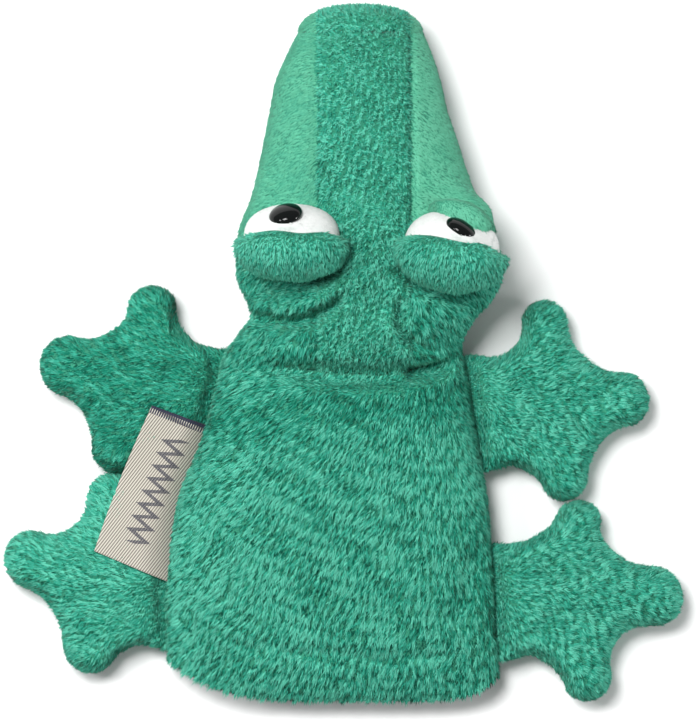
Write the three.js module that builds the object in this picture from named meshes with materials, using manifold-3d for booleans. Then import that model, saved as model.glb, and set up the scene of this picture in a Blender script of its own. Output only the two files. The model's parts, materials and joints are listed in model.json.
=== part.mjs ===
// A moving mouth hand puppet, lying flat on its belly with its mouth shut.
// Millimetres. X across, Y from the hem towards the snout, Z up from the surface it lies on.
import * as THREE from 'three';
import { mergeVertices } from 'three/addons/utils/BufferGeometryUtils.js';
import Module from 'manifold-3d';

const wasm = await Module();
wasm.setup();

// Fabric, filling and the spaces between pieces
const plushThickness = 2.4;
const limbPlush = 1.8;
const liningThickness = 1.5;
const boardThickness = 2.3;
const seamGap = 0.3;

// Sleeve: the hand goes in at the hem
const sleeveLength = 134;
const sleeveBelow = 112;
const hemWidth = 124;
const hipWidth = 118;
const chestWidth = 103;
const neckWidth = 86;
const hemHeight = 25;
const neckHeight = 32;
const seamHeight = 9;
const hemLean = -6.5;
const hemCornerRise = 13;
const hemCornerPower = 7;
const sleeveSquareness = 2.5;
const bellySquareness = 4;
const bellyFlat = 1;

// Head: the upper half of the mouth, with the snout forward
const headLength = 125;
const jowlWidth = 95;
const cheekWidth = 101;
const browWidth = 88;
const snoutRootWidth = 77;
const snoutMidWidth = 63;
const snoutEndWidth = 46;
const foldHeight = 34;
const napeHeight = 36;
const browHeight = 45;
const snoutRootHeight = 44;
const snoutHeight = 41;
const snoutEndHeight = 33;
const headSquareness = 2.2;
const jowlLean = 5.6;
const headLean = 7.5;
const snoutRootLean = 4.5;
const snoutLean = 3;
const stripWidth = 34;
const stripShift = 1.1;
const capLength = 11;
const noseRoundness = 0.8;

// Mouth and its hinge, where the lining folds
const mouthHeight = 16;
const mouthHingeOffset = 26;
const jawSquareness = 2.8;
const jawFlat = 0.5;
const boardSetback = 2;
const upperBoardGap = 1.4;
const lowerBoardGap = 1.8;
const paddingLength = 21;
const paddingSetback = 1;
const paddingGap = 0.7;
const paddingSpread = 0.8;
const paddingEdge = 1;

// How far the neck and the mouth turn, in degrees
const nodUp = 40;
const nodDown = 50;
const jawOpen = 50;
const throatShare = 20;
const spareAngle = 2;
const neckPivotHeight = 12;
const foldGap = 0.5;

// Eyes: each lies inside the cheek's edge by a margin, and ahead of the neck
const eyeWidth = 35;
const eyeDepth = 27;
const eyeHeight = 30;
const eyeLift = 3.5;
const eyePlush = 2;
const eyeSegments = 18;
const stuffingSegments = 14;
const lidPlush = 2.4;
const pupilRadius = 6;
const pupilDome = 3.4;
const pupilFlange = 0.6;
const shankRadius = 1.6;
const shankLength = 7;
const washerRadius = 4.6;
const washerThickness = 1.2;
const washerDrop = 1.8;
const washerFit = 0.15;
const pupilSeat = 0.3;
const eyes = {
  left: { side: -1, margin: 3, ahead: 36.6, lidEdge: 2.1, lidTurn: 0, pupilTurn: 15, pupilLift: 51 },
  right: { side: 1, margin: 2.3, ahead: 33.8, lidEdge: 3.6, lidTurn: -8, pupilTurn: -22, pupilLift: 52 },
};

// Places that follow from the sizes
const hemY = -sleeveBelow;
const neckY = hemY + sleeveLength;
const tipY = neckY + headLength;
const capY = tipY - capLength;
const hingeY = neckY + mouthHingeOffset;
const upperLiningBase = mouthHeight + seamGap;
const upperRim = upperLiningBase + liningThickness + seamGap;
const lowerLiningTop = mouthHeight - seamGap;
const lowerRim = lowerLiningTop - liningThickness - seamGap;

// Limbs: a palm with three fingers, sewn into the side seams. Places are [out from the seam, up from
// the seat], and the last number of each is a radius. They are drawn for seats one limbPitch apart, and
// grow with the distance between the seats.
const handDrop = 27;
const footRise = 37;
const limbPitch = 70;
const limbGrowth = (sleeveLength - handDrop - footRise) / limbPitch;
const limbThickness = 16;
const limbFlat = 0.6;
const limbThinnest = 0.1;
const limbGap = 1.2;
const rootThickness = 2.6;
const rootTaper = 17;
const webRadius = 5 * limbGrowth;
const waddingGap = 1.1;
const limbSteps = 32;
const limbRings = [0, 0.5, 0.85, 1];
const limbs = {
  hand_right: {
    side: 1, seat: neckY - handDrop, root: [-1.8, 0, 19], palm: [22.7, 1.5, 14.5],
    fingers: [[22.4, 35, 7.8], [53.2, 5.4, 8.8], [29.6, -22.6, 8.2]],
  },
  foot_right: {
    side: 1, seat: hemY + footRise, root: [-3.6, 0, 20], palm: [19.4, 4, 15],
    fingers: [[25.8, 29, 8.2], [56.6, 3.6, 9], [29.4, -27.6, 8.6]],
  },
  hand_left: {
    side: -1, seat: neckY - handDrop + 2, root: [0.2, 0, 20], palm: [24.2, 4.5, 15],
    fingers: [[22.7, 37.4, 8.2], [54.2, 16, 9.2], [34.7, -15, 8.6]],
  },
  foot_left: {
    side: -1, seat: hemY + footRise + 1, root: [-0.9, 0, 20], palm: [20.9, 4, 15.5],
    fingers: [[20.1, 36.4, 8.6], [50.7, 14.6, 9.4], [29.1, -17.8, 8.8]],
  },
};

// Woven label: a strip folded once, both ends in the left side seam, lying over the hand and the foot
const labelLength = 58;
const labelReach = 24;
const labelThickness = 0.7;
const labelOpening = 0.5;
const labelRootDrop = 0.6;
const labelClearance = 2.2;
const labelBend = 2.2;
const labelAngle = 164.6;
const labelOut = 5.6;
const labelUp = 4;
const labelRootHeight = limbThickness - labelRootDrop;
const labelLevel = limbThickness + labelClearance + labelOpening / 2 + labelThickness;

const degrees = Math.PI / 180;

const colours = {
  plush: [0x3da183, 0.95],
  plushPale: [0x5cbc9b, 0.92],
  white: [0xecedeb, 0.95],
  black: [0x060a0a, 0.08],
  lining: [0xc9605a, 0.9],
  foam: [0xe9e4d6, 0.85],
  wadding: [0xf2f0ea, 1],
  plastic: [0xe6e6e2, 0.45],
  label: [0xc8c3b9, 0.8],
};

const puppet = new THREE.Group();

// Adds one named sub-part with its own material.
function addPart(name, geometry, finish) {
  const [color, roughness] = colours[finish];
  const material = new THREE.MeshStandardMaterial({ color, roughness, metalness: 0 });
  const mesh = new THREE.Mesh(geometry, material);
  mesh.name = name;
  puppet.add(mesh);
  return mesh;
}

// The value at s on a smooth line through rising stations [s, value].
function through(stations, s) {
  const last = stations.length - 1;
  if (s <= stations[0][0]) return stations[0][1];
  if (s >= stations[last][0]) return stations[last][1];
  const i = stations.findIndex(([place]) => place > s) - 1;
  const slope = (j) => {
    const [before, after] = [stations[Math.max(j - 1, 0)], stations[Math.min(j + 1, last)]];
    return (after[1] - before[1]) / (after[0] - before[0]);
  };
  const [[s0, v0], [s1, v1]] = [stations[i], stations[i + 1]];
  const span = s1 - s0;
  const t = (s - s0) / span;
  const ends = v0 * (1 + 2 * t) * (1 - t) ** 2 + v1 * t * t * (3 - 2 * t);
  return ends + span * t * (1 - t) * (slope(i) * (1 - t) - slope(i + 1) * t);
}

// A point of a unit arch: angle 0 at +X, over the top, to 180 degrees at -X.
function arch(angle, squareness) {
  const power = 2 / squareness;
  const across = Math.cos(angle);
  return [Math.sign(across) * Math.abs(across) ** power, Math.abs(Math.sin(angle)) ** power];
}

// A geometry of merged vertices, without the triangles that fold to nothing, turned to face out.
function closedGeometry(points, triangles) {
  const raw = new THREE.BufferGeometry();
  raw.setAttribute('position', new THREE.Float32BufferAttribute(points.flat(), 3));
  raw.setIndex(triangles.flat());
  const merged = mergeVertices(raw, 1e-3);
  const index = merged.index.array;
  const corner = (i) => new THREE.Vector3().fromBufferAttribute(merged.attributes.position, i);
  const kept = [];
  let volume = 0;
  for (let i = 0; i < index.length; i += 3) {
    const [a, b, c] = index.slice(i, i + 3);
    if (a === b || b === c || c === a) continue;
    kept.push([a, b, c]);
    volume += corner(a).dot(corner(b).cross(corner(c)));
  }
  merged.setIndex(kept.map(([a, b, c]) => (volume > 0 ? [a, b, c] : [a, c, b])).flat());
  merged.computeVertexNormals();
  return merged;
}

// A closed sheet between two surfaces of (u, v), joined round its four edges. A ring meets itself in u.
function sheetBetween(outer, inner, across, along, ring = false) {
  const row = along + 1;
  const count = (across + 1) * row;
  const points = [];
  for (const surface of [outer, inner]) {
    for (let i = 0; i <= across; i += 1) {
      for (let j = 0; j <= along; j += 1) {
        points.push(surface(i / across, j / along));
      }
    }
  }
  const triangles = [];
  const quad = (a, b, c, d) => triangles.push([a, b, c], [a, c, d]);
  const at = (i, j) => i * row + j;
  for (let i = 0; i < across; i += 1) {
    for (let j = 0; j < along; j += 1) {
      const [a, b, c, d] = [at(i, j), at(i + 1, j), at(i + 1, j + 1), at(i, j + 1)];
      quad(a, b, c, d);
      quad(d + count, c + count, b + count, a + count);
    }
  }
  const rim = (a, b) => quad(b, a, a + count, b + count);
  for (let i = 0; i < across; i += 1) {
    rim(at(i, 0), at(i + 1, 0));
    rim(at(i + 1, along), at(i, along));
  }
  for (let j = 0; j < along && !ring; j += 1) {
    rim(at(0, j + 1), at(0, j));
    rim(at(across, j), at(across, j + 1));
  }
  return closedGeometry(points, triangles);
}

function solidOf(geometry) {
  const bare = geometry.clone();
  bare.deleteAttribute('normal');
  bare.deleteAttribute('uv');
  const merged = mergeVertices(bare, 1e-4);
  return new wasm.Manifold(new wasm.Mesh({
    numProp: 3,
    vertProperties: new Float32Array(merged.attributes.position.array),
    triVerts: new Uint32Array(merged.index.array),
  }));
}

function geometryOf(solid) {
  const mesh = solid.getMesh();
  const geometry = new THREE.BufferGeometry();
  geometry.setAttribute('position', new THREE.BufferAttribute(mesh.vertProperties, 3));
  geometry.setIndex(new THREE.BufferAttribute(mesh.triVerts, 1));
  geometry.computeVertexNormals();
  return geometry;
}

const tangent = (angle) => Math.tan(angle * degrees);

// How far from the neck fold a panel ends at a height, so that the nod closes the gap and no more.
function neckClearance(z) {
  const above = z - neckPivotHeight;
  const share = above > 0 ? nodUp / 2 + spareAngle : nodDown / 2 + spareAngle;
  return foldGap + Math.abs(above) * tangent(share);
}

// Where the throat ends and the jaw starts at a height below the mouth's hinge.
const throatFront = (z) => hingeY - foldGap - (mouthHeight - z) * tangent(throatShare + spareAngle);
const jawRear = (z) => hingeY + foldGap + (mouthHeight - z) * tangent(jawOpen - throatShare + spareAngle);

// Sleeve section at a place along Y: its centre, half width and height.
function sleeveSection(y) {
  const s = (y - hemY) / sleeveLength;
  const widths = [[0, hemWidth], [0.3, hemWidth], [0.5, hipWidth], [0.75, chestWidth], [1, neckWidth]];
  return {
    centre: hemLean * (1 - s),
    half: through(widths, s) / 2,
    top: through([[0, hemHeight], [1, neckHeight]], s),
  };
}

// A point of the sleeve's upper or under side, drawn in by an inset.
function sleevePoint(u, v, inset, upper) {
  const [across, rise] = arch(Math.PI * (1 - u), upper ? sleeveSquareness : bellySquareness);
  const rim = seamHeight + (upper ? seamGap : -seamGap) / 2;
  const heightAt = (section) => {
    if (upper) return rim + (section.top - rim - inset) * rise;
    return Math.max(inset, rim - (rim + bellyFlat - inset) * rise);
  };
  const start = hemY + hemCornerRise * Math.abs(across) ** hemCornerPower;
  const end = neckY - neckClearance(heightAt(sleeveSection(neckY)));
  const y = start + (end - start) * v;
  const section = sleeveSection(y);
  return [section.centre + (section.half - inset) * across, y, heightAt(section)];
}

// Head section at a place along Y: its centre, half width and the height of its top.
function headSection(y) {
  const s = (y - neckY) / headLength;
  const end = (capY - neckY) / headLength;
  const centres = [[0, 0], [0.12, jowlLean], [0.3, headLean], [0.6, snoutRootLean], [1, snoutLean]];
  const widths = [[0, neckWidth], [0.13, jowlWidth], [0.24, cheekWidth], [0.42, browWidth],
    [0.54, snoutRootWidth], [0.77, snoutMidWidth], [end, snoutEndWidth]];
  const heights = [[0, foldHeight], [0.1, napeHeight], [0.26, browHeight], [0.45, snoutRootHeight],
    [0.75, snoutHeight], [end, snoutEndHeight]];
  return { centre: through(centres, s), half: through(widths, s) / 2, top: through(heights, s) };
}

// Section of the nose cap: the last head section closing to a point at the mouth's edge.
function capSection(turn) {
  const last = headSection(capY);
  return {
    y: capY + seamGap + (capLength - seamGap) * Math.sin(turn),
    centre: last.centre,
    closing: Math.cos(turn) ** noseRoundness,
    half: last.half,
    top: last.top,
  };
}

// The arch angle at which the head's surface is a given distance from its centre line.
function angleAt(distance, half) {
  const share = Math.min(Math.max(distance / half, -1), 1);
  return Math.acos(Math.sign(share) * Math.abs(share) ** (headSquareness / 2));
}

// A point of the head at an arch angle. Lift is outward.
function headPoint(angleOf, v, lift) {
  const bare = headSection(neckY);
  const [, riseAtNape] = arch(angleOf(bare), headSquareness);
  const start = neckY + neckClearance(upperRim + (napeHeight + lift - upperRim) * riseAtNape);
  const y = start + (capY - start) * v;
  const section = headSection(y);
  const [across, rise] = arch(angleOf(section), headSquareness);
  const height = upperRim + (section.top + lift - upperRim) * rise;
  return [section.centre + (section.half + lift) * across, y, height];
}

const stripEdge = (side, gap) => (section) => angleAt(side * (stripWidth / 2 - gap) + stripShift, section.half);

function headPanel(from, to, across, along) {
  const between = (u) => (section) => from(section) + (to(section) - from(section)) * u;
  return sheetBetween(
    (u, v) => headPoint(between(u), v, 0),
    (u, v) => headPoint(between(u), v, -plushThickness),
    across, along,
  );
}

function noseCapGeometry() {
  const surface = (lift) => (u, v) => {
    const section = capSection(v * Math.PI / 2);
    const [across, rise] = arch(Math.PI * (1 - u), headSquareness);
    const reach = v === 0 ? section.y : section.y + lift * v;
    const half = (section.half + lift) * section.closing;
    const height = (section.top + lift - upperRim) * section.closing;
    return [section.centre + half * across, reach, upperRim + height * rise];
  };
  return sheetBetween(surface(0), surface(-plushThickness), 12, 5);
}

// The plan outline of the mouth, drawn in by an inset, for flat pieces that lie in it.
function mouthPoint(u, v, inset, z, rear) {
  const front = tipY - inset;
  const y = rear + (front - rear) * Math.sin(v * Math.PI / 2);
  const turn = Math.asin(Math.min(Math.max((y - capY) / (front - capY), 0), 1));
  const section = headSection(Math.min(y, capY));
  const half = (section.half - inset) * Math.cos(turn) ** noseRoundness;
  return [section.centre + half * (2 * u - 1), y, z];
}

function mouthPlate(inset, base, thickness, rearAt) {
  const layer = (z) => (u, v) => mouthPoint(u, v, inset, z, rearAt(z));
  return sheetBetween(layer(base + thickness), layer(base), 2, 10);
}

// The lower jaw: a boat shape, open to the throat, flat where it rests.
function jawPoint(u, v, inset) {
  const [across, rise] = arch(Math.PI * u, jawSquareness);
  const depth = Math.max(inset, lowerRim - (lowerRim + jawFlat - inset) * rise);
  const rear = jawRear(depth);
  const front = tipY - inset;
  const y = rear + (front - rear) * Math.sin(v * Math.PI / 2);
  const section = headSection(Math.min(y, capY));
  const turn = Math.asin(Math.min(Math.max((y - capY) / (front - capY), 0), 1));
  const closing = Math.cos(turn);
  const keel = lowerRim + (depth - lowerRim) * closing;
  return [section.centre + (section.half - inset) * closing ** noseRoundness * across, y, keel];
}

function throatPoint(u, v, inset) {
  const [across, rise] = arch(Math.PI * u, jawSquareness);
  const rim = upperRim - seamGap;
  const z = Math.max(inset, rim - (rim + jawFlat - inset) * rise);
  const rear = neckY + neckClearance(z);
  const y = rear + (throatFront(z) - rear) * v;
  const section = headSection(y);
  return [section.centre + (section.half - inset) * across, y, z];
}

// The filling in front of the fingers, between the upper board and the snout's top.
function snoutPaddingGeometry() {
  const inset = plushThickness + paddingGap;
  const base = upperRim + boardThickness + 2 * seamGap;
  const front = capY - paddingSetback;
  const rear = front - paddingLength;
  const surface = (raised) => (u, v) => {
    const y = rear + (front - rear) * v;
    const section = headSection(y);
    const [across, rise] = arch(Math.PI * (0.5 + paddingSpread * (0.5 - u)), headSquareness);
    const domed = upperRim + (section.top - inset - upperRim) * rise;
    const height = raised ? Math.max(domed, base + paddingEdge) : base;
    return [section.centre + (section.half - inset) * across, y, height];
  };
  return sheetBetween(surface(true), surface(false), 8, 4);
}

// The head's outside, closed underneath: what cuts the eyes where they sit.
function headTool(lift) {
  const angleOf = (u) => () => Math.PI * (1 - u);
  const outside = (u, v) => headPoint(angleOf(u), v, lift);
  const under = (u, v) => {
    const [x, y] = outside(u, v);
    return [x, y, mouthHeight];
  };
  return solidOf(sheetBetween(outside, under, 20, 20));
}

function ellipsoid(grow, place, around = eyeSegments) {
  const geometry = new THREE.SphereGeometry(1, around, around / 2 + 1);
  geometry.scale(eyeWidth / 2 + grow, eyeDepth / 2 + grow, eyeHeight / 2 + grow);
  geometry.translate(place.x, place.y, place.z);
  return solidOf(geometry);
}

// A turned piece whose own axis is +Y, moved to a point of the eyeball and aimed outward.
function aimed(geometry, place, aim, out) {
  const turn = new THREE.Quaternion().setFromUnitVectors(new THREE.Vector3(0, 1, 0), aim);
  const matrix = new THREE.Matrix4().makeRotationFromQuaternion(turn);
  geometry.applyMatrix4(matrix);
  const shift = aim.clone().multiplyScalar(out);
  geometry.translate(place.x + shift.x, place.y + shift.y, place.z + shift.z);
  return geometry;
}

function turned(profile, segments = 12) {
  return new THREE.LatheGeometry(profile.map(([r, h]) => new THREE.Vector2(r, h)), segments);
}

// Outline of a domed safety eye with its shank, grown by a clearance.
function pupilProfile(grow) {
  const rim = [];
  for (let step = 0; step <= 4; step += 1) {
    const turn = (1 - step / 4) * Math.PI / 2;
    rim.push([(pupilRadius + grow) * Math.cos(turn), (pupilDome + grow) * Math.sin(turn)]);
  }
  rim[0][0] = 0;
  const flange = -pupilFlange - grow;
  return [...rim, [pupilRadius + grow, flange], [shankRadius + grow, flange],
    [shankRadius + grow, -shankLength - grow], [0, -shankLength - grow]].reverse();
}

function washerProfile(grow) {
  const hole = Math.max(shankRadius + washerFit - grow, 0);
  const top = -pupilSeat - seamGap - eyePlush - washerDrop + grow;
  const base = top - washerThickness - 2 * grow;
  const outline = [[hole, base], [washerRadius + grow, base], [washerRadius + grow, top], [hole, top]];
  return hole > 0 ? [...outline, [hole, base]] : outline;
}

// The middle of an eyeball: inside the cheek's edge, and lifted from the head's surface there.
function eyeCentre(eye) {
  const y = neckY + eye.ahead;
  const section = headSection(y);
  const fromCentre = section.half - eyeWidth / 2 - eye.margin;
  const share = fromCentre / section.half;
  const surface = upperRim + (section.top - upperRim) * (1 - share ** headSquareness) ** (1 / headSquareness);
  return new THREE.Vector3(section.centre + eye.side * fromCentre, y, surface + eyeLift);
}

function addEye(side, eye, headCut, fillingCut) {
  const place = eyeCentre(eye);
  const lift = eye.pupilLift * degrees;
  const swing = eye.pupilTurn * degrees;
  const aim = new THREE.Vector3(-Math.sin(swing) * Math.cos(lift), Math.cos(swing) * Math.cos(lift), Math.sin(lift));
  const radii = new THREE.Vector3(eyeWidth / 2, eyeDepth / 2, eyeHeight / 2);
  const out = 1 / aim.clone().divide(radii).length() + seamGap + pupilSeat;
  const pupil = (grow) => aimed(turned(pupilProfile(grow)), place, aim, out);
  const washer = (grow) => aimed(turned(washerProfile(grow)), place, aim, out);
  const skin = ellipsoid(0, place).subtract(ellipsoid(-eyePlush, place)).subtract(headCut)
    .subtract(solidOf(pupil(seamGap)));
  const filling = ellipsoid(-eyePlush - 2 * seamGap, place, stuffingSegments).subtract(fillingCut)
    .subtract(solidOf(pupil(seamGap))).subtract(solidOf(washer(seamGap)));
  const slab = new THREE.BoxGeometry(3 * eyeWidth, 2 * eyeDepth, 4 * eyeHeight);
  slab.translate(0, -eyeDepth, 0);
  slab.rotateZ(eye.lidTurn * degrees);
  slab.translate(place.x, place.y + eye.lidEdge, place.z);
  const lid = ellipsoid(lidPlush + seamGap, place).subtract(ellipsoid(seamGap, place)).intersect(solidOf(slab))
    .subtract(headCut).subtract(solidOf(pupil(seamGap)));
  addPart(`eye_white_${side}`, geometryOf(skin), 'white');
  addPart(`eye_stuffing_${side}`, geometryOf(filling), 'wadding');
  addPart(`pupil_${side}`, pupil(0), 'black');
  addPart(`eye_washer_${side}`, washer(0), 'plastic');
  addPart(`eyelid_${side}`, geometryOf(lid), 'plush');
}

// Distance to a rounded bar between two discs of different radius; negative inside.
function barDistance(x, y, [ax, ay, ar], [bx, by, br]) {
  const [dx, dy] = [bx - ax, by - ay];
  const t = Math.min(Math.max(((x - ax) * dx + (y - ay) * dy) / (dx * dx + dy * dy), 0), 1);
  return Math.hypot(x - ax - dx * t, y - ay - dy * t) - (ar + (br - ar) * t);
}

// A place of a limb's drawing, [out, up, radius], as [x, y, radius] beside the sleeve.
function limbPlace(limb, [out, up, radius]) {
  const seam = rootLine(limb.side, limb.seat);
  return [seam + limb.side * out * limbGrowth, limb.seat + up * limbGrowth, radius * limbGrowth];
}

// Distance to a limb's outline: the palm's bars joined with round webs.
function limbDistance(limb, x, y) {
  const palm = limbPlace(limb, limb.palm);
  const ends = [limb.root, ...limb.fingers].map((end) => limbPlace(limb, end));
  const bars = ends.map((end) => barDistance(x, y, palm, end));
  return bars.reduce((joined, bar) => {
    const near = Math.max(webRadius - Math.abs(joined - bar), 0) / webRadius;
    return Math.min(joined, bar) - near * near * webRadius / 4;
  });
}

// X of the side seam beside a limb, plus the gap to it.
function rootLine(side, y) {
  const section = sleeveSection(Math.min(y, neckY));
  return section.centre + side * (section.half + limbGap);
}

// The distance from the palm's middle to the outline at an angle, found by halving.
function outlineRadius(limb, angle) {
  const [palmX, palmY, palmRadius] = limbPlace(limb, limb.palm);
  const farthest = Math.max(...limb.fingers.map(([out, up, radius]) => Math.hypot(out, up) + radius));
  let [inside, outside] = [palmRadius / 2, farthest * limbGrowth];
  for (let step = 0; step < 30; step += 1) {
    const middle = (inside + outside) / 2;
    const x = palmX + middle * Math.cos(angle);
    const y = palmY + middle * Math.sin(angle);
    const beyondRoot = limb.side * (rootLine(limb.side, y) - x) > 0;
    const within = limbDistance(limb, x, y) < 0 && !beyondRoot;
    [inside, outside] = within ? [middle, outside] : [inside, middle];
  }
  return inside;
}

// Half thickness at a point of the limb: round at its edge, thin where it is sewn in.
function limbHalf(limb, x, y) {
  const round = limbThickness / 2 + limbFlat;
  const depth = Math.min(Math.max(-limbDistance(limb, x, y), 0), round);
  const pillow = Math.sqrt(round ** 2 - (round - depth) ** 2);
  const fromRoot = Math.max(limb.side * (x - rootLine(limb.side, y)), 0);
  const taper = Math.min(fromRoot / rootTaper, 1);
  return Math.min(pillow, rootThickness / 2 + (round - rootThickness / 2) * Math.sin(taper * Math.PI / 2));
}

// A point of a limb's surface on a ring of its outline, with the half thickness there.
function limbPoint(limb, turn, ring, inset) {
  const angle = Math.round(turn * limbSteps) % limbSteps / limbSteps * 2 * Math.PI;
  const [palmX, palmY] = limbPlace(limb, limb.palm);
  const radius = Math.max(outlineRadius(limb, angle) - inset, 0) * ring;
  const x = palmX + radius * Math.cos(angle);
  const y = palmY + radius * Math.sin(angle);
  return [x, y, Math.max(limbHalf(limb, x, y) - inset, limbThinnest)];
}

// One skin of a limb: a domed sheet with a flat rim where the two skins are sewn together.
function limbShell(limb, side) {
  const last = limbRings.length - 1;
  const surface = (inset) => (u, v) => {
    const ring = Math.round(v * last);
    const [x, y, half] = limbPoint(limb, u, limbRings[ring], inset);
    const z = limbThickness / 2 + side * (seamGap / 2 + (ring === last ? 0 : half));
    return [x, y, Math.min(Math.max(z, inset), limbThickness - inset)];
  };
  return sheetBetween(surface(0), surface(limbPlush), limbSteps, last, true);
}

function limbFilling(limb) {
  const inset = limbPlush + waddingGap;
  const rings = limbRings.slice(0, -1);
  const last = rings.length - 1;
  const surface = (side) => (u, v) => {
    const [x, y, half] = limbPoint(limb, u, rings[Math.round(v * last)], inset);
    const z = limbThickness / 2 + side * half;
    return [x, y, Math.min(Math.max(z, inset), limbThickness - inset)];
  };
  return sheetBetween(surface(1), surface(-1), limbSteps, last, true);
}

function addLimb(name, limb) {
  addPart(`${name}_top`, limbShell(limb, 1), 'plush');
  addPart(`${name}_under`, limbShell(limb, -1), 'plush');
  addPart(`${name}_wadding`, limbFilling(limb), 'wadding');
}

// The label's section: a hairpin of two layers that rises from the seam and lies over the limbs.
function labelGeometry() {
  const rise = labelLevel - labelRootHeight;
  const centre = (t) => [labelReach * t, rise * Math.sin(Math.min(t * labelBend, 1) * Math.PI / 2)];
  const inner = labelOpening / 2;
  const outer = inner + labelThickness;
  const steps = 8;
  const side = (offset) => Array.from({ length: steps + 1 }, (_, i) => {
    const [x, z] = centre(i / steps);
    return [x, z + offset];
  });
  const [endX, endZ] = centre(1);
  const turn = (radius) => [60, 0, -60].map((angle) => [
    endX + radius * Math.cos(angle * degrees), endZ + radius * Math.sin(angle * degrees)]);
  const outline = [...side(outer), ...turn(outer), ...side(-outer).reverse(),
    ...side(-inner), ...turn(inner).reverse(), ...side(inner).reverse()];
  const shape = new THREE.Shape(outline.map(([x, z]) => new THREE.Vector2(x, z)));
  const geometry = new THREE.ExtrudeGeometry(shape, { depth: labelLength, bevelEnabled: false });
  geometry.rotateX(Math.PI / 2);
  geometry.translate(0, labelLength / 2, 0);
  return geometry;
}

// Sleeve
function addSleevePanel(name, upper, across, along) {
  addPart(name, sheetBetween(
    (u, v) => sleevePoint(u, v, 0, upper),
    (u, v) => sleevePoint(u, v, plushThickness, upper),
    across, along,
  ), 'plush');
}
addSleevePanel('back_panel', true, 16, 9);
addSleevePanel('belly_panel', false, 14, 6);

// Head
const rightEdge = () => 0;
const leftEdge = () => Math.PI;
addPart('snout_top_panel', headPanel(stripEdge(1, seamGap / 2), stripEdge(-1, seamGap / 2), 5, 16), 'plush');
addPart('cheek_right_panel', headPanel(rightEdge, stripEdge(1, -seamGap / 2), 6, 16), 'plushPale');
addPart('cheek_left_panel', headPanel(stripEdge(-1, -seamGap / 2), leftEdge, 6, 16), 'plushPale');
addPart('nose_cap', noseCapGeometry(), 'plush');
addPart('throat_panel', sheetBetween(
  (u, v) => throatPoint(u, v, 0),
  (u, v) => throatPoint(u, v, plushThickness),
  14, 3,
), 'plush');
const hingeLine = () => hingeY + foldGap;
addPart('palate_upper', mouthPlate(0, upperLiningBase, liningThickness, hingeLine), 'lining');
addPart('mouth_board_upper',
  mouthPlate(plushThickness + upperBoardGap, upperRim, boardThickness, () => hingeLine() + boardSetback), 'foam');
addPart('snout_padding', snoutPaddingGeometry(), 'wadding');
const eyeCut = headTool(seamGap);
const stuffingCut = headTool(2 * seamGap);
addEye('left', eyes.left, eyeCut, stuffingCut);
addEye('right', eyes.right, eyeCut, stuffingCut);

// Jaw
addPart('jaw_panel', sheetBetween(
  (u, v) => jawPoint(u, v, 0),
  (u, v) => jawPoint(u, v, plushThickness),
  12, 10,
), 'plush');
addPart('palate_lower',
  mouthPlate(0, lowerLiningTop - liningThickness, liningThickness, jawRear), 'lining');
addPart('mouth_board_lower', mouthPlate(plushThickness + lowerBoardGap, lowerRim - boardThickness,
  boardThickness, (z) => jawRear(z) + boardSetback), 'foam');

// Limbs
for (const [name, limb] of Object.entries(limbs)) addLimb(name, limb);

// Label
const label = addPart('woven_label', labelGeometry(), 'label');
const labelY = (limbs.hand_left.seat + limbs.foot_left.seat) / 2 + labelUp;
label.position.set(rootLine(-1, labelY) - labelOut, labelY, labelRootHeight);
label.rotation.z = labelAngle * degrees;

export default puppet;
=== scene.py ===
import json
import math
import bmesh
import bpy
import numpy as np
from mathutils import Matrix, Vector


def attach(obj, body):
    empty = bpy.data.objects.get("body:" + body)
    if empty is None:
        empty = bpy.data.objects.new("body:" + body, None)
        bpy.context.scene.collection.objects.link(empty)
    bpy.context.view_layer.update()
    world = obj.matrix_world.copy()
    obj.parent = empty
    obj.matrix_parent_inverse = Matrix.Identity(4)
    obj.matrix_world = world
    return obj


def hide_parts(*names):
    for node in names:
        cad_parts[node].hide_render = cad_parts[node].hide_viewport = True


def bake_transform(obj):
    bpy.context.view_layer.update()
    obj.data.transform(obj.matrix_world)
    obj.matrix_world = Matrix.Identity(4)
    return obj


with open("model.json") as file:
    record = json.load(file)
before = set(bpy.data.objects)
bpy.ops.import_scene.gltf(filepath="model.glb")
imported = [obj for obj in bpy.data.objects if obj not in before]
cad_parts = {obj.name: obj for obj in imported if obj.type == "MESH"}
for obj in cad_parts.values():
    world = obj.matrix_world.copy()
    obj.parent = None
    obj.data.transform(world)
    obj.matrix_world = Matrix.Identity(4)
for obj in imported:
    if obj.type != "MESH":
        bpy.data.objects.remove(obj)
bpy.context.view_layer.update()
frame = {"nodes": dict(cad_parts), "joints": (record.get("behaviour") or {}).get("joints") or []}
mm = 0.001
rng = np.random.default_rng(11)
up = np.array([0.0, 0.0, 1.0])
joints = {joint["name"]: joint for joint in frame["joints"]}
print("frame loaded:", len(frame["nodes"]), "nodes")

# the studio: camera straight above, pale floor, a soft key from the upper left
studio = dict(
    cameraDistance=3.0, viewHeight=0.2664, aim=(0.0, 0.0148, 0.015), sensor=36.0, clipEnd=50,
    floorSize=4.0, floorDrop=0.0002, floorColour="e9e9e9", floorRoughness=0.9, worldStrength=0.42,
    keySize=0.6, keyPower=32.0, keyPlace=(-0.42, 0.5, 1.5), keyAim=(0, 0, 0),
    catchSize=(0.24, 0.2), catchPower=4.5, catchPlaces=[(-0.86, 0.15, 0.92), (1.14, -0.16, 0.3)],
    catchAim=(0, 0.06, 0.05),
)


def linear(hexColour):
    # from a written colour to the shader's linear values
    parts = [int(hexColour[i:i + 2], 16) / 255 for i in (0, 2, 4)]
    return [part / 12.92 if part <= 0.04045 else ((part + 0.055) / 1.055) ** 2.4 for part in parts] + [1.0]


def join(tree, *pairs):
    for source, target in pairs:
        tree.links.new(source, target)


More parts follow.
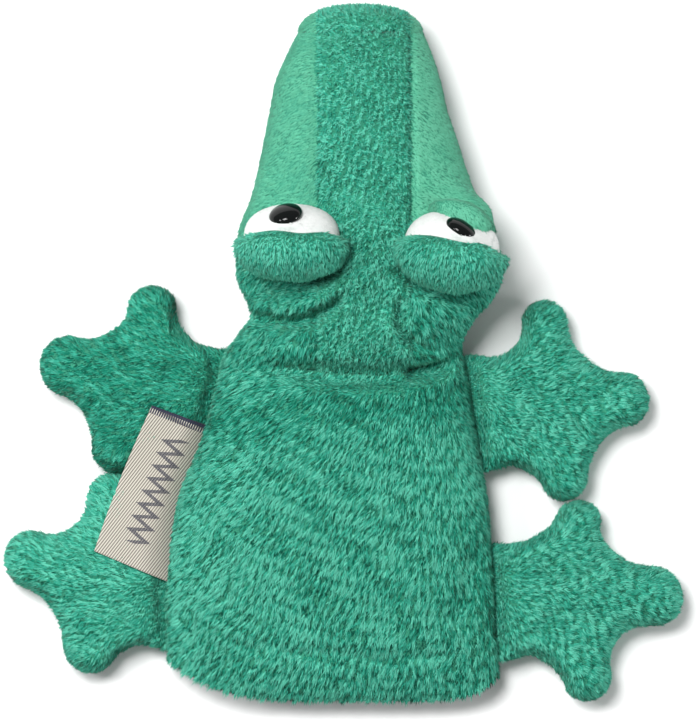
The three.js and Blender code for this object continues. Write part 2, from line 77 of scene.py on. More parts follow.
def addNode(tree, kind, values=(), **settings):
    # one shader node, its settings, and the values written on its sockets
    node = tree.nodes.new("ShaderNode" + kind)
    for setting, value in settings.items():
        setattr(node, setting, value)
    for label, value in dict(values).items():
        node.inputs[label].default_value = value
    return node


shaderSockets = dict(
    colour="Base Color", roughness="Roughness", sheen="Sheen Weight", sheenRoughness="Sheen Roughness",
    sheenTint="Sheen Tint", specular="Specular IOR Level")


def newMaterial(name, **values):
    # a Principled surface, with the values that are the same all over it
    material = bpy.data.materials.new(name)
    material.use_nodes = True
    shader = material.node_tree.nodes["Principled BSDF"]
    for label, value in values.items():
        shader.inputs[shaderSockets[label]].default_value = value
    return material, material.node_tree, shader


def areaLight(name, place, aim, size, power, sizeY=None):
    light = bpy.data.lights.new(name, "AREA")
    light.energy = power
    light.size = size
    if sizeY:
        light.shape = "RECTANGLE"
        light.size_y = sizeY
    lamp = bpy.data.objects.new(name, light)
    bpy.context.scene.collection.objects.link(lamp)
    lamp.location = place
    direction = Vector(aim) - Vector(place)
    lamp.rotation_euler = direction.to_track_quat("-Z", "Y").to_euler()


def makeStudio():
    s = studio
    camera = bpy.data.objects.new("camera", bpy.data.cameras.new("camera"))
    bpy.context.scene.collection.objects.link(camera)
    camera.data.sensor_width = s["sensor"]
    camera.data.lens = s["sensor"] * s["cameraDistance"] / s["viewHeight"]
    aimX, aimY, aimZ = s["aim"]
    camera.location = (aimX, aimY, aimZ + s["cameraDistance"])
    camera.data.clip_end = s["clipEnd"]
    bpy.context.scene.camera = camera
    half = s["floorSize"] / 2
    mesh = bpy.data.meshes.new("floor")
    corners = [(-half, -half, 0), (half, -half, 0), (half, half, 0), (-half, half, 0)]
    mesh.from_pydata(corners, [], [(0, 1, 2, 3)])
    floor = bpy.data.objects.new("floor", mesh)
    bpy.context.scene.collection.objects.link(floor)
    floor.location.z = -s["floorDrop"]
    material = newMaterial("floor", colour=linear(s["floorColour"]), roughness=s["floorRoughness"])[0]
    mesh.materials.append(material)
    world = bpy.data.worlds.new("studio")
    bpy.context.scene.world = world
    world.use_nodes = True
    sky = world.node_tree.nodes["Background"]
    sky.inputs["Color"].default_value = (1, 1, 1, 1)
    sky.inputs["Strength"].default_value = s["worldStrength"]
    areaLight("key", s["keyPlace"], s["keyAim"], s["keySize"], s["keyPower"])
    wide, high = s["catchSize"]
    for number, place in enumerate(s["catchPlaces"]):
        areaLight(f"catch{number}", place, s["catchAim"], wide, s["catchPower"], high)
    bpy.context.scene.view_settings.view_transform = "Standard"
    print("studio ready")


makeStudio()


# numbers along a line, grids and shells

def smoothLine(stations, s):
    # a cubic line through (place, value) pairs, level past its ends
    places, values = (np.array(row, float) for row in zip(*stations))
    slopes = np.gradient(values, places)
    s = np.clip(np.asarray(s, float), places[0], places[-1])
    i = np.clip(np.searchsorted(places, s, side="right") - 1, 0, len(places) - 2)
    span = places[i + 1] - places[i]
    t = (s - places[i]) / span
    near = values[i] * (1 + 2 * t) * (1 - t) ** 2 + span * slopes[i] * t * (1 - t) ** 2
    return near + values[i + 1] * t * t * (3 - 2 * t) - span * slopes[i + 1] * t * t * (1 - t)


def ease(low, high, x):
    t = np.clip((x - low) / (high - low), 0, 1)
    return t * t * (3 - 2 * t)


def unit(vectors):
    return vectors / np.maximum(np.linalg.norm(vectors, axis=-1, keepdims=True), 1e-12)


def gridNormals(points, out):
    # the cross product of the grid's two differences, turned to the outside
    normals = np.cross(np.gradient(points, axis=0), np.gradient(points, axis=1)) * out
    size = np.linalg.norm(normals, axis=-1)
    poor = size < 1e-9 * max(size.max(), 1e-12) + 1e-12
    normals = unit(normals)
    for column in (0, -1):
        beside = 1 if column == 0 else -2
        normals[:, column][poor[:, column]] = normals[:, beside][poor[:, column]]
    return normals


rippleWaves = dict(count=12, shortest=0.65, longest=1.7, height=4.2, steepness=26)


def ripple(points, wavelength, seed, withSlope=False):
    # a smooth random field in -1..1: the mean of a few plane waves of random direction and phase
    w = rippleWaves
    draw = np.random.default_rng(seed)
    total = np.zeros(len(points))
    slope = np.zeros(points.shape)
    for _ in range(w["count"]):
        heading = unit(draw.normal(size=3))
        direction = heading * 2 * np.pi / (wavelength * draw.uniform(w["shortest"], w["longest"]))
        phase = points @ direction + draw.uniform(0, 2 * np.pi)
        total += np.sin(phase)
        slope += np.cos(phase)[:, None] * direction
    value = np.clip(total / w["height"], -1, 1)
    return (value, slope * wavelength / w["steepness"]) if withSlope else value


def lineDistance(x, y, line):
    # distance in plan to a line of points, and how far along it the nearest place is, 0 to 1
    nearest = np.full(x.shape, 1e9)
    along = np.zeros(x.shape)
    pieces = len(line) - 1
    for k, ((ax, ay), (bx, by)) in enumerate(zip(line[:-1], line[1:])):
        dx, dy = bx - ax, by - ay
        t = np.clip(((x - ax) * dx + (y - ay) * dy) / (dx * dx + dy * dy), 0, 1)
        distance = np.hypot(x - ax - dx * t, y - ay - dy * t)
        closer = distance < nearest
        nearest = np.where(closer, distance, nearest)
        along = np.where(closer, (k + t) / pieces, along)
    return nearest, along


def foldHeight(x, y, folds):
    # folds pressed into a surface: a soft valley along each line, with low banks, fading at its ends
    total = np.zeros(x.shape)
    for fold in folds:
        distance, along = lineDistance(x, y, fold["line"])
        fade = 1
        if fold.get("fade", True):
            fade = np.minimum(ease(-0.02, 0.2, along), 1 - ease(0.8, 1.02, along))
        across = distance / fold["width"]
        valley = np.exp(-across ** 2) - fold.get("bank", 0.3) * np.exp(-(across - 1.9) ** 2)
        total -= fold["depth"] * valley * fade
    return total


def bumpHeight(x, y, bumps):
    # round swellings: a bell of its own width along and across
    total = np.zeros(x.shape)
    for bump in bumps:
        turn = math.radians(bump.get("turn", 0))
        dx, dy = x - bump["at"][0], y - bump["at"][1]
        along = (dx * math.cos(turn) + dy * math.sin(turn)) / bump["size"][0]
        across = (-dx * math.sin(turn) + dy * math.cos(turn)) / bump["size"][1]
        total += bump["height"] * np.exp(-along ** 2 - across ** 2)
    return total


def newObject(name, verts, faces, materials, faceSlots=None):
    # verts in millimetres; faces all of one size, as an array
    mesh = bpy.data.meshes.new(name)
    faces = np.asarray(faces, np.int32)
    corners = faces.shape[1]
    mesh.vertices.add(len(verts))
    mesh.vertices.foreach_set("co", (np.asarray(verts) * mm).astype(np.float32).ravel())
    mesh.loops.add(faces.size)
    mesh.loops.foreach_set("vertex_index", faces.ravel())
    mesh.polygons.add(len(faces))
    mesh.polygons.foreach_set("loop_start", np.arange(len(faces), dtype=np.int32) * corners)
    for material in materials:
        mesh.materials.append(material)
    if faceSlots is not None:
        mesh.polygons.foreach_set("material_index", faceSlots.astype(np.int32))
    mesh.polygons.foreach_set("use_smooth", np.full(len(faces), True))
    mesh.update(calc_edges=True)
    piece = bpy.data.objects.new(name, mesh)
    bpy.context.scene.collection.objects.link(piece)
    return piece


def gridQuads(rows, columns):
    first = (np.arange(rows - 1)[:, None] * columns + np.arange(columns - 1)[None, :]).ravel()
    return np.stack([first, first + columns, first + columns + 1, first + 1], axis=1)


def shellFaces(rows, columns, ring=False):
    # quads of an outer grid, of the inner grid behind it, and of the rim between their edges
    count = rows * columns
    outer = gridQuads(rows, columns)
    at = np.arange(count).reshape(rows, columns)
    edges = [np.stack([at[:-1, 0], at[1:, 0]], 1), np.stack([at[1:, -1], at[:-1, -1]], 1)]
    if not ring:
        edges += [np.stack([at[0, 1:], at[0, :-1]], 1), np.stack([at[-1, :-1], at[-1, 1:]], 1)]
    rims = [np.stack([e[:, 1], e[:, 0], e[:, 0] + count, e[:, 1] + count], 1) for e in edges]
    return np.concatenate([outer, outer[:, ::-1] + count] + rims)


def mergeDoubles(piece):
    shape = bmesh.new()
    shape.from_mesh(piece.data)
    bmesh.ops.remove_doubles(shape, verts=shape.verts, dist=2e-6)
    bmesh.ops.dissolve_degenerate(shape, edges=shape.edges, dist=1e-7)
    bmesh.ops.recalc_face_normals(shape, faces=shape.faces)
    shape.to_mesh(piece.data)
    shape.free()
    piece.data.update()


def makeShell(name, outer, normals, thickness, materials, ring=False):
    # a closed sheet of cloth: the outer grid, the same grid moved inwards, and the rim
    rows, columns = outer.shape[:2]
    inner = outer - normals * thickness
    verts = np.concatenate([outer.reshape(-1, 3), inner.reshape(-1, 3)])
    piece = newObject(name, verts, shellFaces(rows, columns, ring), materials)
    mergeDoubles(piece)
    return piece


# materials

def nodeGroup(name, inputs, outputs):
    group = bpy.data.node_groups.new(name, "ShaderNodeTree")
    for label, kind, value in inputs:
        socket = group.interface.new_socket(label, in_out="INPUT", socket_type=kind)
        socket.default_value = value
    for label, kind in outputs:
        group.interface.new_socket(label, in_out="OUTPUT", socket_type=kind)
    return group, group.nodes.new("NodeGroupInput"), group.nodes.new("NodeGroupOutput")


def pileGroup():
    # the ground of a plush cloth: blotches where the pile lies differently, and fine fibre grain
    group, given, result = nodeGroup("pileVariation", [
        ("Dark", "NodeSocketColor", (0.01, 0.15, 0.1, 1)),
        ("Light", "NodeSocketColor", (0.1, 0.5, 0.35, 1)),
        ("Blotch Scale", "NodeSocketFloat", 90.0), ("Grain Scale", "NodeSocketFloat", 1400.0)],
        [("Colour", "NodeSocketColor"), ("Height", "NodeSocketFloat"), ("Roughness", "NodeSocketFloat")])
    place = addNode(group, "TexCoord")
    blotch = addNode(group, "TexNoise")
    grain = addNode(group, "TexNoise", {"Detail": 3})
    blend = addNode(group, "Math", {1: 0.65}, operation="MULTIPLY_ADD")
    spread = addNode(group, "MapRange", {"From Min": 0.5, "From Max": 1.15})
    colour = addNode(group, "Mix", data_type="RGBA")
    rough = addNode(group, "MapRange", {"To Min": 0.82, "To Max": 0.98})
    join(group,
         (place.outputs["Object"], blotch.inputs["Vector"]),
         (place.outputs["Object"], grain.inputs["Vector"]),
         (given.outputs["Blotch Scale"], blotch.inputs["Scale"]),
         (given.outputs["Grain Scale"], grain.inputs["Scale"]),
         (grain.outputs["Fac"], blend.inputs[0]), (blotch.outputs["Fac"], blend.inputs[2]),
         (blend.outputs[0], spread.inputs["Value"]), (spread.outputs[0], colour.inputs["Factor"]),
         (given.outputs["Dark"], colour.inputs["A"]), (given.outputs["Light"], colour.inputs["B"]),
         (grain.outputs["Fac"], rough.inputs["Value"]), (colour.outputs["Result"], result.inputs["Colour"]),
         (grain.outputs["Fac"], result.inputs["Height"]), (rough.outputs[0], result.inputs["Roughness"]))
    return group


def weaveGroup():
    # crossing threads at a given pitch: two crossed waves that hide each other by turns
    group, given, result = nodeGroup("threadWeave", [
        ("Dark", "NodeSocketColor", (0.1, 0.1, 0.1, 1)), ("Light", "NodeSocketColor", (0.8, 0.8, 0.8, 1)),
        ("Pitch Scale", "NodeSocketFloat", 900.0)],
        [("Colour", "NodeSocketColor"), ("Height", "NodeSocketFloat"), ("Roughness", "NodeSocketFloat")])
    place = addNode(group, "TexCoord")
    waves = []
    for direction in ("X", "Y"):
        wave = addNode(group, "TexWave", bands_direction=direction)
        join(group, (place.outputs["Object"], wave.inputs["Vector"]),
             (given.outputs["Pitch Scale"], wave.inputs["Scale"]))
        waves.append(wave)
    cross = addNode(group, "Math", operation="MAXIMUM")
    colour = addNode(group, "Mix", data_type="RGBA")
    rough = addNode(group, "MapRange", {"To Min": 0.95, "To Max": 0.75})
    join(group, (waves[0].outputs["Fac"], cross.inputs[0]), (waves[1].outputs["Fac"], cross.inputs[1]),
         (cross.outputs[0], colour.inputs["Factor"]), (given.outputs["Dark"], colour.inputs["A"]),
         (given.outputs["Light"], colour.inputs["B"]), (cross.outputs[0], rough.inputs["Value"]),
         (colour.outputs["Result"], result.inputs["Colour"]), (cross.outputs[0], result.inputs["Height"]),
         (rough.outputs[0], result.inputs["Roughness"]))
    return group


groups = dict(pile=pileGroup(), weave=weaveGroup())


def surfaceMaterial(name, group, values, bump=0.3, sheen=0.0):
    # a Principled surface fed by one shared group, with the group's height as a bump
    material, tree, shader = newMaterial(name, sheen=sheen, sheenRoughness=0.5)
    effect = addNode(tree, "Group", node_tree=groups[group])
    for label, value in values.items():
        effect.inputs[label].default_value = linear(value) if isinstance(value, str) else value
    relief = addNode(tree, "Bump", {"Strength": bump, "Distance": 0.0004})
    join(tree, (effect.outputs["Colour"], shader.inputs["Base Color"]),
         (effect.outputs["Roughness"], shader.inputs["Roughness"]),
         (effect.outputs["Height"], relief.inputs["Height"]),
         (relief.outputs["Normal"], shader.inputs["Normal"]))
    return material


def fibreMaterial(name, colour):
    # one tone of pile, with a green bloom where it is seen at a slant
    return newMaterial(name, colour=linear(colour), roughness=0.9, sheen=0.25, sheenRoughness=0.4,
                       sheenTint=linear("8fe0bd"), specular=0.15)[0]


# each cloth or plastic: its shared effect, darkest and lightest colour, blotch size, relief and sheen
grounds = dict(
    # the green ground's dark colours are painted shade: it shows in the gaps between tufts as their shade
    greenGround=("pile", "0b5f49", "2f9173", 90.0, 0.5, 0.1),
    whiteGround=("pile", "c0c3c1", "d0d2d0", 200.0, 0.3, 0.2),
    mouthLining=("weave", "9c3f3f", "cf6a62", None, 0.4, 0.1),
    foamSheet=("pile", "d6cfbd", "efeadd", 60.0, 0.2, 0.0),
    wadding=("pile", "dcdad2", "f6f5f0", 90.0, 0.6, 0.2),
    washer=("pile", "d2d2cd", "e8e8e4", 90.0, 0.05, 0.0),
)
finishes = {}
for ground, (effect, dark, light, blotch, relief, sheen) in grounds.items():
    values = {"Dark": dark, "Light": light}
    if blotch:
        values["Blotch Scale"] = blotch
    finishes[ground] = surfaceMaterial(ground, effect, values, relief, sheen)

# tones of each pile, from the darkest to the lightest; a tuft's tone is partly random and partly painted
# light and shade
piles = dict(
    green=["054e3e", "147a62", "369e86", "58baa0"],
    pale=["409579", "4a9e82", "55a889", "60b192"],
    white=["bcbfbd", "c6c9c7", "ced1cf", "d6d8d6"],
)
fibres = {pile: [fibreMaterial(f"{pile}Fibre{tone}", colour) for tone, colour in enumerate(tones)]
          for pile, tones in piles.items()}
print("materials ready")


# pile: tufts of fibre rooted on a surface

def rootsOn(verts, quads, normals, spacing):
    # places spread evenly over quads: cells are taken in proportion to their area, with one
    # random place in each equal share of the whole area
    a, b, c, d = (verts[quads[:, k]] for k in range(4))
    twice = np.linalg.norm(np.cross(b - a, c - a), axis=1) + np.linalg.norm(np.cross(c - a, d - a), axis=1)
    area = twice / 2
    count = int(area.sum() / spacing ** 2)
    share = np.cumsum(area) / area.sum()
    drawn = (np.arange(count) + rng.random(count)) / count
    cell = np.minimum(np.searchsorted(share, drawn), len(quads) - 1)
    s, t = rng.random((2, count, 1))
    weights = [(1 - s) * (1 - t), s * (1 - t), s * t, (1 - s) * t]
    corners = quads[cell]
    place = sum(w * verts[corners[:, k]] for k, w in enumerate(weights))
    normal = unit(sum(w * normals[corners[:, k]] for k, w in enumerate(weights)))
    return place, normal


# what all tufts share, in millimetres and radians
tuftShape = dict(
    sink=0.3, flatness=0.7, floor=0.15, leanJitter=0.12, leanRange=(0.05, 1.5), lengthJitter=0.18,
    lengthRange=(0.3, 1.6), radiusJitter=0.2, radiusRange=(0.6, 1.5), sideShare=0.65,
    gapFrom=0.2, lockShade=(0.6, 1.1), patchShade=0.25, toneEdges=(-0.75, 0.0, 0.75))


def strokes(roots, look, seed):
    # a random field drawn out into lines along the lie of the pile, which fans out from a place;
    # it gives the field, its slope across those lines, and 0 to 1 for the gaps between locks, where
    # the tufts are shorter and carry painted shade
    if "fanFrom" not in look:
        value, slope = ripple(roots, look["clumpSize"], seed, True)
    else:
        away = roots - np.array([*look["fanFrom"], 0])
        away[:, 2] = 0
        reach = np.linalg.norm(away, axis=1)
        outward = away / np.maximum(reach, 1e-6)[:, None]
        turning = np.stack([-outward[:, 1], outward[:, 0], 0 * reach], axis=1)
        angle = np.arctan2(away[:, 0], -away[:, 1])
        bend = 1.6 * ripple(roots, look["patch"] * 1.5, seed + 1)
        fan = np.stack([angle * reach.mean() + bend, reach / look["drawn"], roots[:, 2]], axis=1)
        value, slope = ripple(fan, look["clumpSize"], seed, True)
        slope = turning * slope[:, :1] + outward * slope[:, 1:2] / look["drawn"]
    gapFrom = tuftShape["gapFrom"]
    return value, slope, np.clip(-value - gapFrom, 0, 1) / (1 - gapFrom)


def makeTufts(name, roots, normals, flow, look, seed):
    # a tuft is a flat three-sided spike: it leans over along the flow, and its tip is drawn towards
    # the middle of its clump, which is where a smooth random field is high
    s = tuftShape
    count = len(roots)
    draw = np.random.default_rng(seed)
    along = unit(flow - normals * (flow * normals).sum(1, keepdims=True) + 1e-6)
    beside = np.cross(normals, along)
    swirl = look["swirl"] * ripple(roots, look["patch"], seed + 1) + look["stray"] * draw.normal(size=count)
    along = along * np.cos(swirl)[:, None] + beside * np.sin(swirl)[:, None]
    clump, slope, gap = strokes(roots, look, seed + 4)
    slope = slope - normals * (slope * normals).sum(1, keepdims=True)
    lean = look["lean"] + look["leanVary"] * ripple(roots, look["patch"] * 0.6, seed + 2)
    lean = np.clip(lean + s["leanJitter"] * draw.normal(size=count), *s["leanRange"])[:, None]
    length = 1 + s["lengthJitter"] * draw.normal(size=count) + look["gap"] * (clump - gap)
    steep = s["sideShare"] + (1 - s["sideShare"]) * np.abs(normals[:, 2])
    length = (look["length"] * np.clip(length, *s["lengthRange"]) * steep)[:, None]
    way = unit(normals * np.cos(lean) + along * np.sin(lean) + slope * look["clump"])
    side = unit(np.cross(way, normals) + beside * 1e-3)
    front = np.cross(way, side)
    base = roots - normals * s["sink"]
    tip = base + way * length
    radius = 1 + s["radiusJitter"] * draw.normal(size=(count, 1))
    radius = look["radius"] * np.clip(radius, *s["radiusRange"])
    ring = [base + (side * math.cos(turn) + front * s["flatness"] * math.sin(turn)) * radius
            for turn in np.radians((90, 210, 330))]
    verts = np.stack(ring + [tip], axis=1)
    verts[..., 2] = np.maximum(verts[..., 2], s["floor"])
    pattern = np.array([(0, 1, 3), (1, 2, 3), (2, 0, 3), (2, 1, 0)])
    faces = (np.arange(count)[:, None, None] * 4 + pattern).reshape(-1, 3)
    # each tuft's tone: painted light at the middle of its lock and painted shade in the gaps between locks,
    # each scaled by the look; random patches and a random spread; the look's own offset; and its painted
    # light and shade by place
    light, dark = s["lockShade"]
    patches = s["patchShade"] * ripple(roots, look["patch"], seed + 3)
    shade = (look["lockShading"] * (light * clump - dark * gap) + patches
             + look["mix"] * draw.normal(size=count) + look["shade"])
    if "shadeAt" in look:
        shade = shade + look["shadeAt"](roots)
    tone = np.digitize(shade, s["toneEdges"])
    piece = newObject(name, verts.reshape(-1, 3), faces, fibres[look["pile"]], np.repeat(tone, 4))
    facing = unit(normals + look["rough"] * draw.normal(size=(count, 3)) + slope * look["clump"] * 0.5)
    piece.data.normals_split_custom_set_from_vertices(np.repeat(facing, 4, axis=0))
    return piece


# the shape of the sleeve and head, in millimetres: left and right edges, top, rim and squareness along Y
bodyShape = dict(
    pile=1.0,
    left=[(-112, -67.5), (-95, -68.4), (-74, -68.8), (-48, -66.8), (-36, -64.6), (-24, -59.8),
          (-9, -54), (6, -50), (18, -46.6), (25, -41.3), (31, -37.4), (35, -37.8), (42, -41.4),
          (52, -42.8), (64, -41.6), (74, -37.6), (90, -33.8), (107, -30.4), (118, -28.2), (128, -24),
          (136, -20)],
    right=[(-112, 55.6), (-98, 56.0), (-80, 54.4), (-59, 53.2), (-40, 51.8), (-20, 48.8), (-5, 46.3),
           (10, 44.0), (22, 42.2), (29, 45.5), (36, 52.3), (44, 56.6), (52, 57), (60, 54), (70, 50.0),
           (82, 44.9), (96, 40.5), (107, 36.8), (118, 34.2), (128, 31), (136, 27.6)],
    top=[(-112, 13), (-109, 17), (-104, 20), (-95, 22.5), (-80, 25), (-55, 28), (-25, 30), (-2, 30.5),
         (8, 29.5), (14, 31), (24, 35), (34, 37.5), (45, 41.5), (57, 44.5), (75, 44), (96, 42.5),
         (118, 39), (128, 36), (136, 32)],
    rim=[(-112, 7), (-90, 9), (-20, 9), (6, 9.5), (34, 16.4), (140, 16.8)],
    square=[(-112, 2.6), (0, 2.5), (30, 2.3), (60, 2.15), (136, 2.25)],
    capEnd=146.8, capStart=136.0, closing=0.84, rimGap=0.2,
)
folds = [
    dict(line=[(-38, 12.5), (-18, 10.6), (-4, 9.4), (11, 8.9), (26, 10.4), (40, 14.5)],
         depth=4.2, width=3.8),
    dict(line=[(20, 9.2), (30, 11), (39, 15)], depth=4.2, width=2.6),
    dict(line=[(-40, 43.4), (-20.4, 41.8), (-8.9, 45.8), (-2.5, 51)], depth=4.2, width=3.0),
    dict(line=[(-38, 31.5), (-22.2, 29.0), (-12.6, 30.6), (-5.2, 35.3), (-3, 41)], depth=4.4, width=2.6),
    dict(line=[(15, 50), (25.9, 42.4), (34.8, 40.2), (49, 36.5)], depth=3.6, width=3.0),
    dict(line=[(18.8, 39), (18.0, 28), (21.1, 22.9), (30.7, 18.1)], depth=2.8, width=2.0),
    dict(line=[(46.5, -50), (43.6, -68), (38.5, -84)], depth=1.5, width=4.0),
    dict(line=[(-56, -88), (-20, -92.5), (0, -94), (20, -95), (46, -93)], depth=1.0, width=2.6),
    dict(line=[(7, 136.2), (17.4, 135.6)], depth=1.2, width=1.3, fade=False, bank=0),
]
bumps = [
    dict(at=(-21, 36.3), size=(15, 5), height=3.2, turn=4),
    dict(at=(33, 31), size=(13, 9), height=3.0),
    dict(at=(6, 24), size=(30, 7), height=2.0, turn=6),
    dict(at=(46, 68.5), size=(10, 4.5), height=5.5, turn=-48),
    dict(at=(6, 60), size=(9, 16), height=1.5),
    dict(at=(-20, -30), size=(26, 30), height=1.5, turn=20),
    dict(at=(25, -60), size=(22, 26), height=1.2),
]
hem = dict(y=-111.2, rise=(15.0, 9.0), power=(3.2, 7.0))
under = dict(ground=0.9, throatY=16, jawY=38, liningStep=1.4, bellySquare=4.0, throatSquare=3.2,
             jawSquare=2.8, jawClosing=0.75)
seams = dict(depth=1.1, width=1.4, stripLap=0.5, cheekLap=0.1, stripLeft=-11.8, stripRight=22.2)


def edgesAt(y):
    pile = bodyShape["pile"]
    return smoothLine(bodyShape["left"], y) + pile, smoothLine(bodyShape["right"], y) - pile


def arch(u, square):
    # a unit arch: from -1 at u 0, over the top, to +1 at u 1
    angle = np.pi * (1 - u)
    across = np.cos(angle)
    return np.sign(across) * np.abs(across) ** (2 / square), np.abs(np.sin(angle)) ** (2 / square)


def upperSurface(u, y):
    # over the back: a superellipse between the two edges, from the rim up to the top line
    square = smoothLine(bodyShape["square"], y)
    across, rise = arch(u, square)
    left, right = edgesAt(y)
    rim = smoothLine(bodyShape["rim"], y) + bodyShape["rimGap"]
    top = smoothLine(bodyShape["top"], y)
    x = (left + right) / 2 + (right - left) / 2 * across
    return np.stack([x, y, rim + (top - rim) * rise], axis=-1)


def underSurface(u, y, square, depth):
    # under the belly, throat and jaw: the same edges, from the rim down to the ground
    across, rise = arch(u, square)
    left, right = edgesAt(y)
    rim = smoothLine(bodyShape["rim"], y) - bodyShape["rimGap"]
    low = depth + 0 * y
    return np.stack([(left + right) / 2 + (right - left) / 2 * across, y,
                     np.maximum(rim - (rim - low + 1) * rise, low)], axis=-1)


def archAngle(x, y):
    # the place u on the arch where the surface passes a given X
    left, right = edgesAt(y)
    share = np.clip((x - (left + right) / 2) / ((right - left) / 2), -1, 1)
    square = smoothLine(bodyShape["square"], y)
    return 1 - np.arccos(np.sign(share) * np.abs(share) ** (square / 2)) / np.pi


def pressed(points, out, fromSeams=()):
    # the folds and swellings pushed along the surface's own normal
    normals = gridNormals(points, out)
    x, y = points[..., 0], points[..., 1]
    lift = foldHeight(x, y, folds) + bumpHeight(x, y, bumps)
    lift = lift * ease(0.05, 0.5, normals[..., 2])
    for distance in fromSeams:
        lift = lift - seams["depth"] * np.exp(-(distance / seams["width"]) ** 2)
    points = points + normals * lift[..., None]
    return points, gridNormals(points, out)


def paramGrid(rows, columns):
    return np.meshgrid(np.linspace(0, 1, rows), np.linspace(0, 1, columns), indexing="ij")


def neckSeam(x):
    # where the head's panels are sewn to the sleeve: the bottom of the neck fold
    line = [(-50, 12), (-34, 12.6), (-18, 10.6), (-4, 9.4), (11, 8.9), (26, 10.4), (38, 14.5), (50, 15)]
    return smoothLine(line, x)


neck = dict(a="sleeve", b="head", start=(0, 0.002, 0.012), end=(0, 0.036, 0.012))
mouth = dict(a="head", b="jaw", start=(0, 0.036, 0.016), end=(0, 0.064, 0.016))


def place(piece, motion, slot, replaced=()):
    # a piece given one body is attached to it, and one given a bend between two bodies only has its
    # transform baked; the plain solids it stands for are hidden; the slot is not read
    if isinstance(motion, str):
        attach(piece, motion)
    else:
        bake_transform(piece)
    if replaced:
        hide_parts(*replaced)
    return piece


# thickness of each cloth and board
thickness = dict(body=1.4, eye=1.2, limb=1.0, lining=1.2, board=2.0)


def sewPanel(name, points, normals, motion, slot, node):
    # a green panel's shell, handed to place with its motion and the plain solid it stands for
    skin = makeShell(name, points, normals, thickness["body"], [finishes["greenGround"]])
    place(skin, motion, slot, [node])


def sewPad(name, points, normals, cloth, finish, motion, slot, nodes, ring=False):
    # the skin of a stuffed part, handed to place with its motion and the plain solids it stands for
    skin = makeShell(name, points, normals, thickness[cloth], [finishes[finish]], ring)
    place(skin, motion, slot, nodes)


def addPile(name, points, normals, motion, slot, flow, look, seed, spacing, parts=1, keep=None):
    # tufts over a surface, cut in equal parts so that no piece grows too large; keep gives the
    # chance of a tuft at each root
    quads = gridQuads(*points.shape[:2])
    roots, rootNormals = rootsOn(points.reshape(-1, 3), quads, normals.reshape(-1, 3), spacing)
    if keep is not None:
        kept = keep(roots)
        roots, rootNormals = roots[kept], rootNormals[kept]
    for part, chosen in enumerate(np.array_split(np.arange(len(roots)), parts)):
        label = name if parts == 1 else f"{name}{'ABCDEFG'[part]}"
        way = flow(roots[chosen])
        place(makeTufts(label, roots[chosen], rootNormals[chosen], way, look, seed), motion, slot)
    print(name, len(roots), "tufts")


# painted light and shade of the pile by place: the sleeve's band and groove of shade, its lighter left
# side, and the lighter right cheek
shading = dict(band=0.7, bandY=-2, bandSlope=0.1, bandWidth=11, groove=0.6, grooveX=46, grooveSlope=0.12,
               grooveY=-50, grooveWidth=5, left=0.25, cheek=0.75)


def bodyShade(roots):
    # painted shade: darker in a band below the neck fold and in the groove beside the right seam; painted
    # light: lighter towards the left edge
    s = shading
    x, y = roots[:, 0], roots[:, 1]
    band = s["band"] * np.exp(-((y - s["bandY"] - s["bandSlope"] * x) / s["bandWidth"]) ** 2)
    fromGroove = (x - s["grooveX"] + s["grooveSlope"] * (y - s["grooveY"])) / s["grooveWidth"]
    groove = s["groove"] * np.exp(-fromGroove ** 2) * ease(-100, -80, y) * ease(35, 60, -y)
    return s["left"] * ease(10, 60, -x) * ease(0, 40, -y) - band - groove


def cheekShade(roots):
    # painted light: the right cheek's pile takes lighter tones
    return shading["cheek"] * ease(18, 26, roots[:, 0])


plainLook = dict(pile="green", length=2.5, radius=0.27, lean=1.0, leanVary=0.15, stray=0.2, clumpSize=1.5,
                 drawn=2.2, clump=0.5, gap=0.35, mix=0.3, rough=0.3)
pileLooks = dict(
    back=dict(plainLook, leanVary=0.12, swirl=0.25, stray=0.18, patch=11.0, drawn=2.6, fanFrom=(62, 85),
              lockShading=1.8, mix=0.28, shade=0.42, shadeAt=bodyShade),
    jowl=dict(plainLook, swirl=0.35, patch=9.0, clumpSize=1.6, fanFrom=(5, 130), lockShading=1.7, shade=0.1),
    strip=dict(plainLook, length=2.0, radius=0.28, lean=0.6, leanVary=0.25, swirl=0.8, stray=0.5, patch=6.0,
               clump=0.75, gap=0.4, lockShading=1.6, rough=0.34, shade=0.5),
    side=dict(plainLook, pile="pale", length=2.3, radius=0.36, lean=1.3, leanVary=0.05, swirl=0.2,
              stray=0.12, patch=16.0, clumpSize=3.5, clump=0.08, gap=0.06, lockShading=0.2, rough=0.05,
              shade=0.1, shadeAt=cheekShade),
    limb=dict(plainLook, length=2.3, lean=0.98, swirl=0.4, stray=0.22, patch=9.0, lockShading=1.35, rough=0.28,
              shade=0.5),
    under=dict(plainLook, length=2.4, radius=0.5, lean=1.2, leanVary=0.1, swirl=0.2, stray=0.25, patch=12.0,
               clumpSize=3.5, clump=0.3, gap=0.2, lockShading=0.6, rough=0.2, shade=0.2),
    lid=dict(plainLook, length=2.2, swirl=0.3, patch=7.0, clump=0.45, gap=0.3, lockShading=1.2, mix=0.28,
             rough=0.26, shade=0.6),
    white=dict(plainLook, pile="white", length=0.9, radius=0.28, lean=0.9, leanVary=0.2, swirl=0.6,
               stray=0.6, patch=4.0, clumpSize=2.0, clump=0.2, gap=0.1, lockShading=0.15, rough=0.1, shade=0),
)
seeds = dict(back=100, belly=150, head=200, nose=400, throat=450, jaw=480, eyes=500, limbs=700)
spacings = dict(top=0.42, under=0.85, white=0.5)


def towards(*direction):
    # a flow that is the same all over
    return lambda roots: np.broadcast_to(np.array(direction, float), roots.shape)


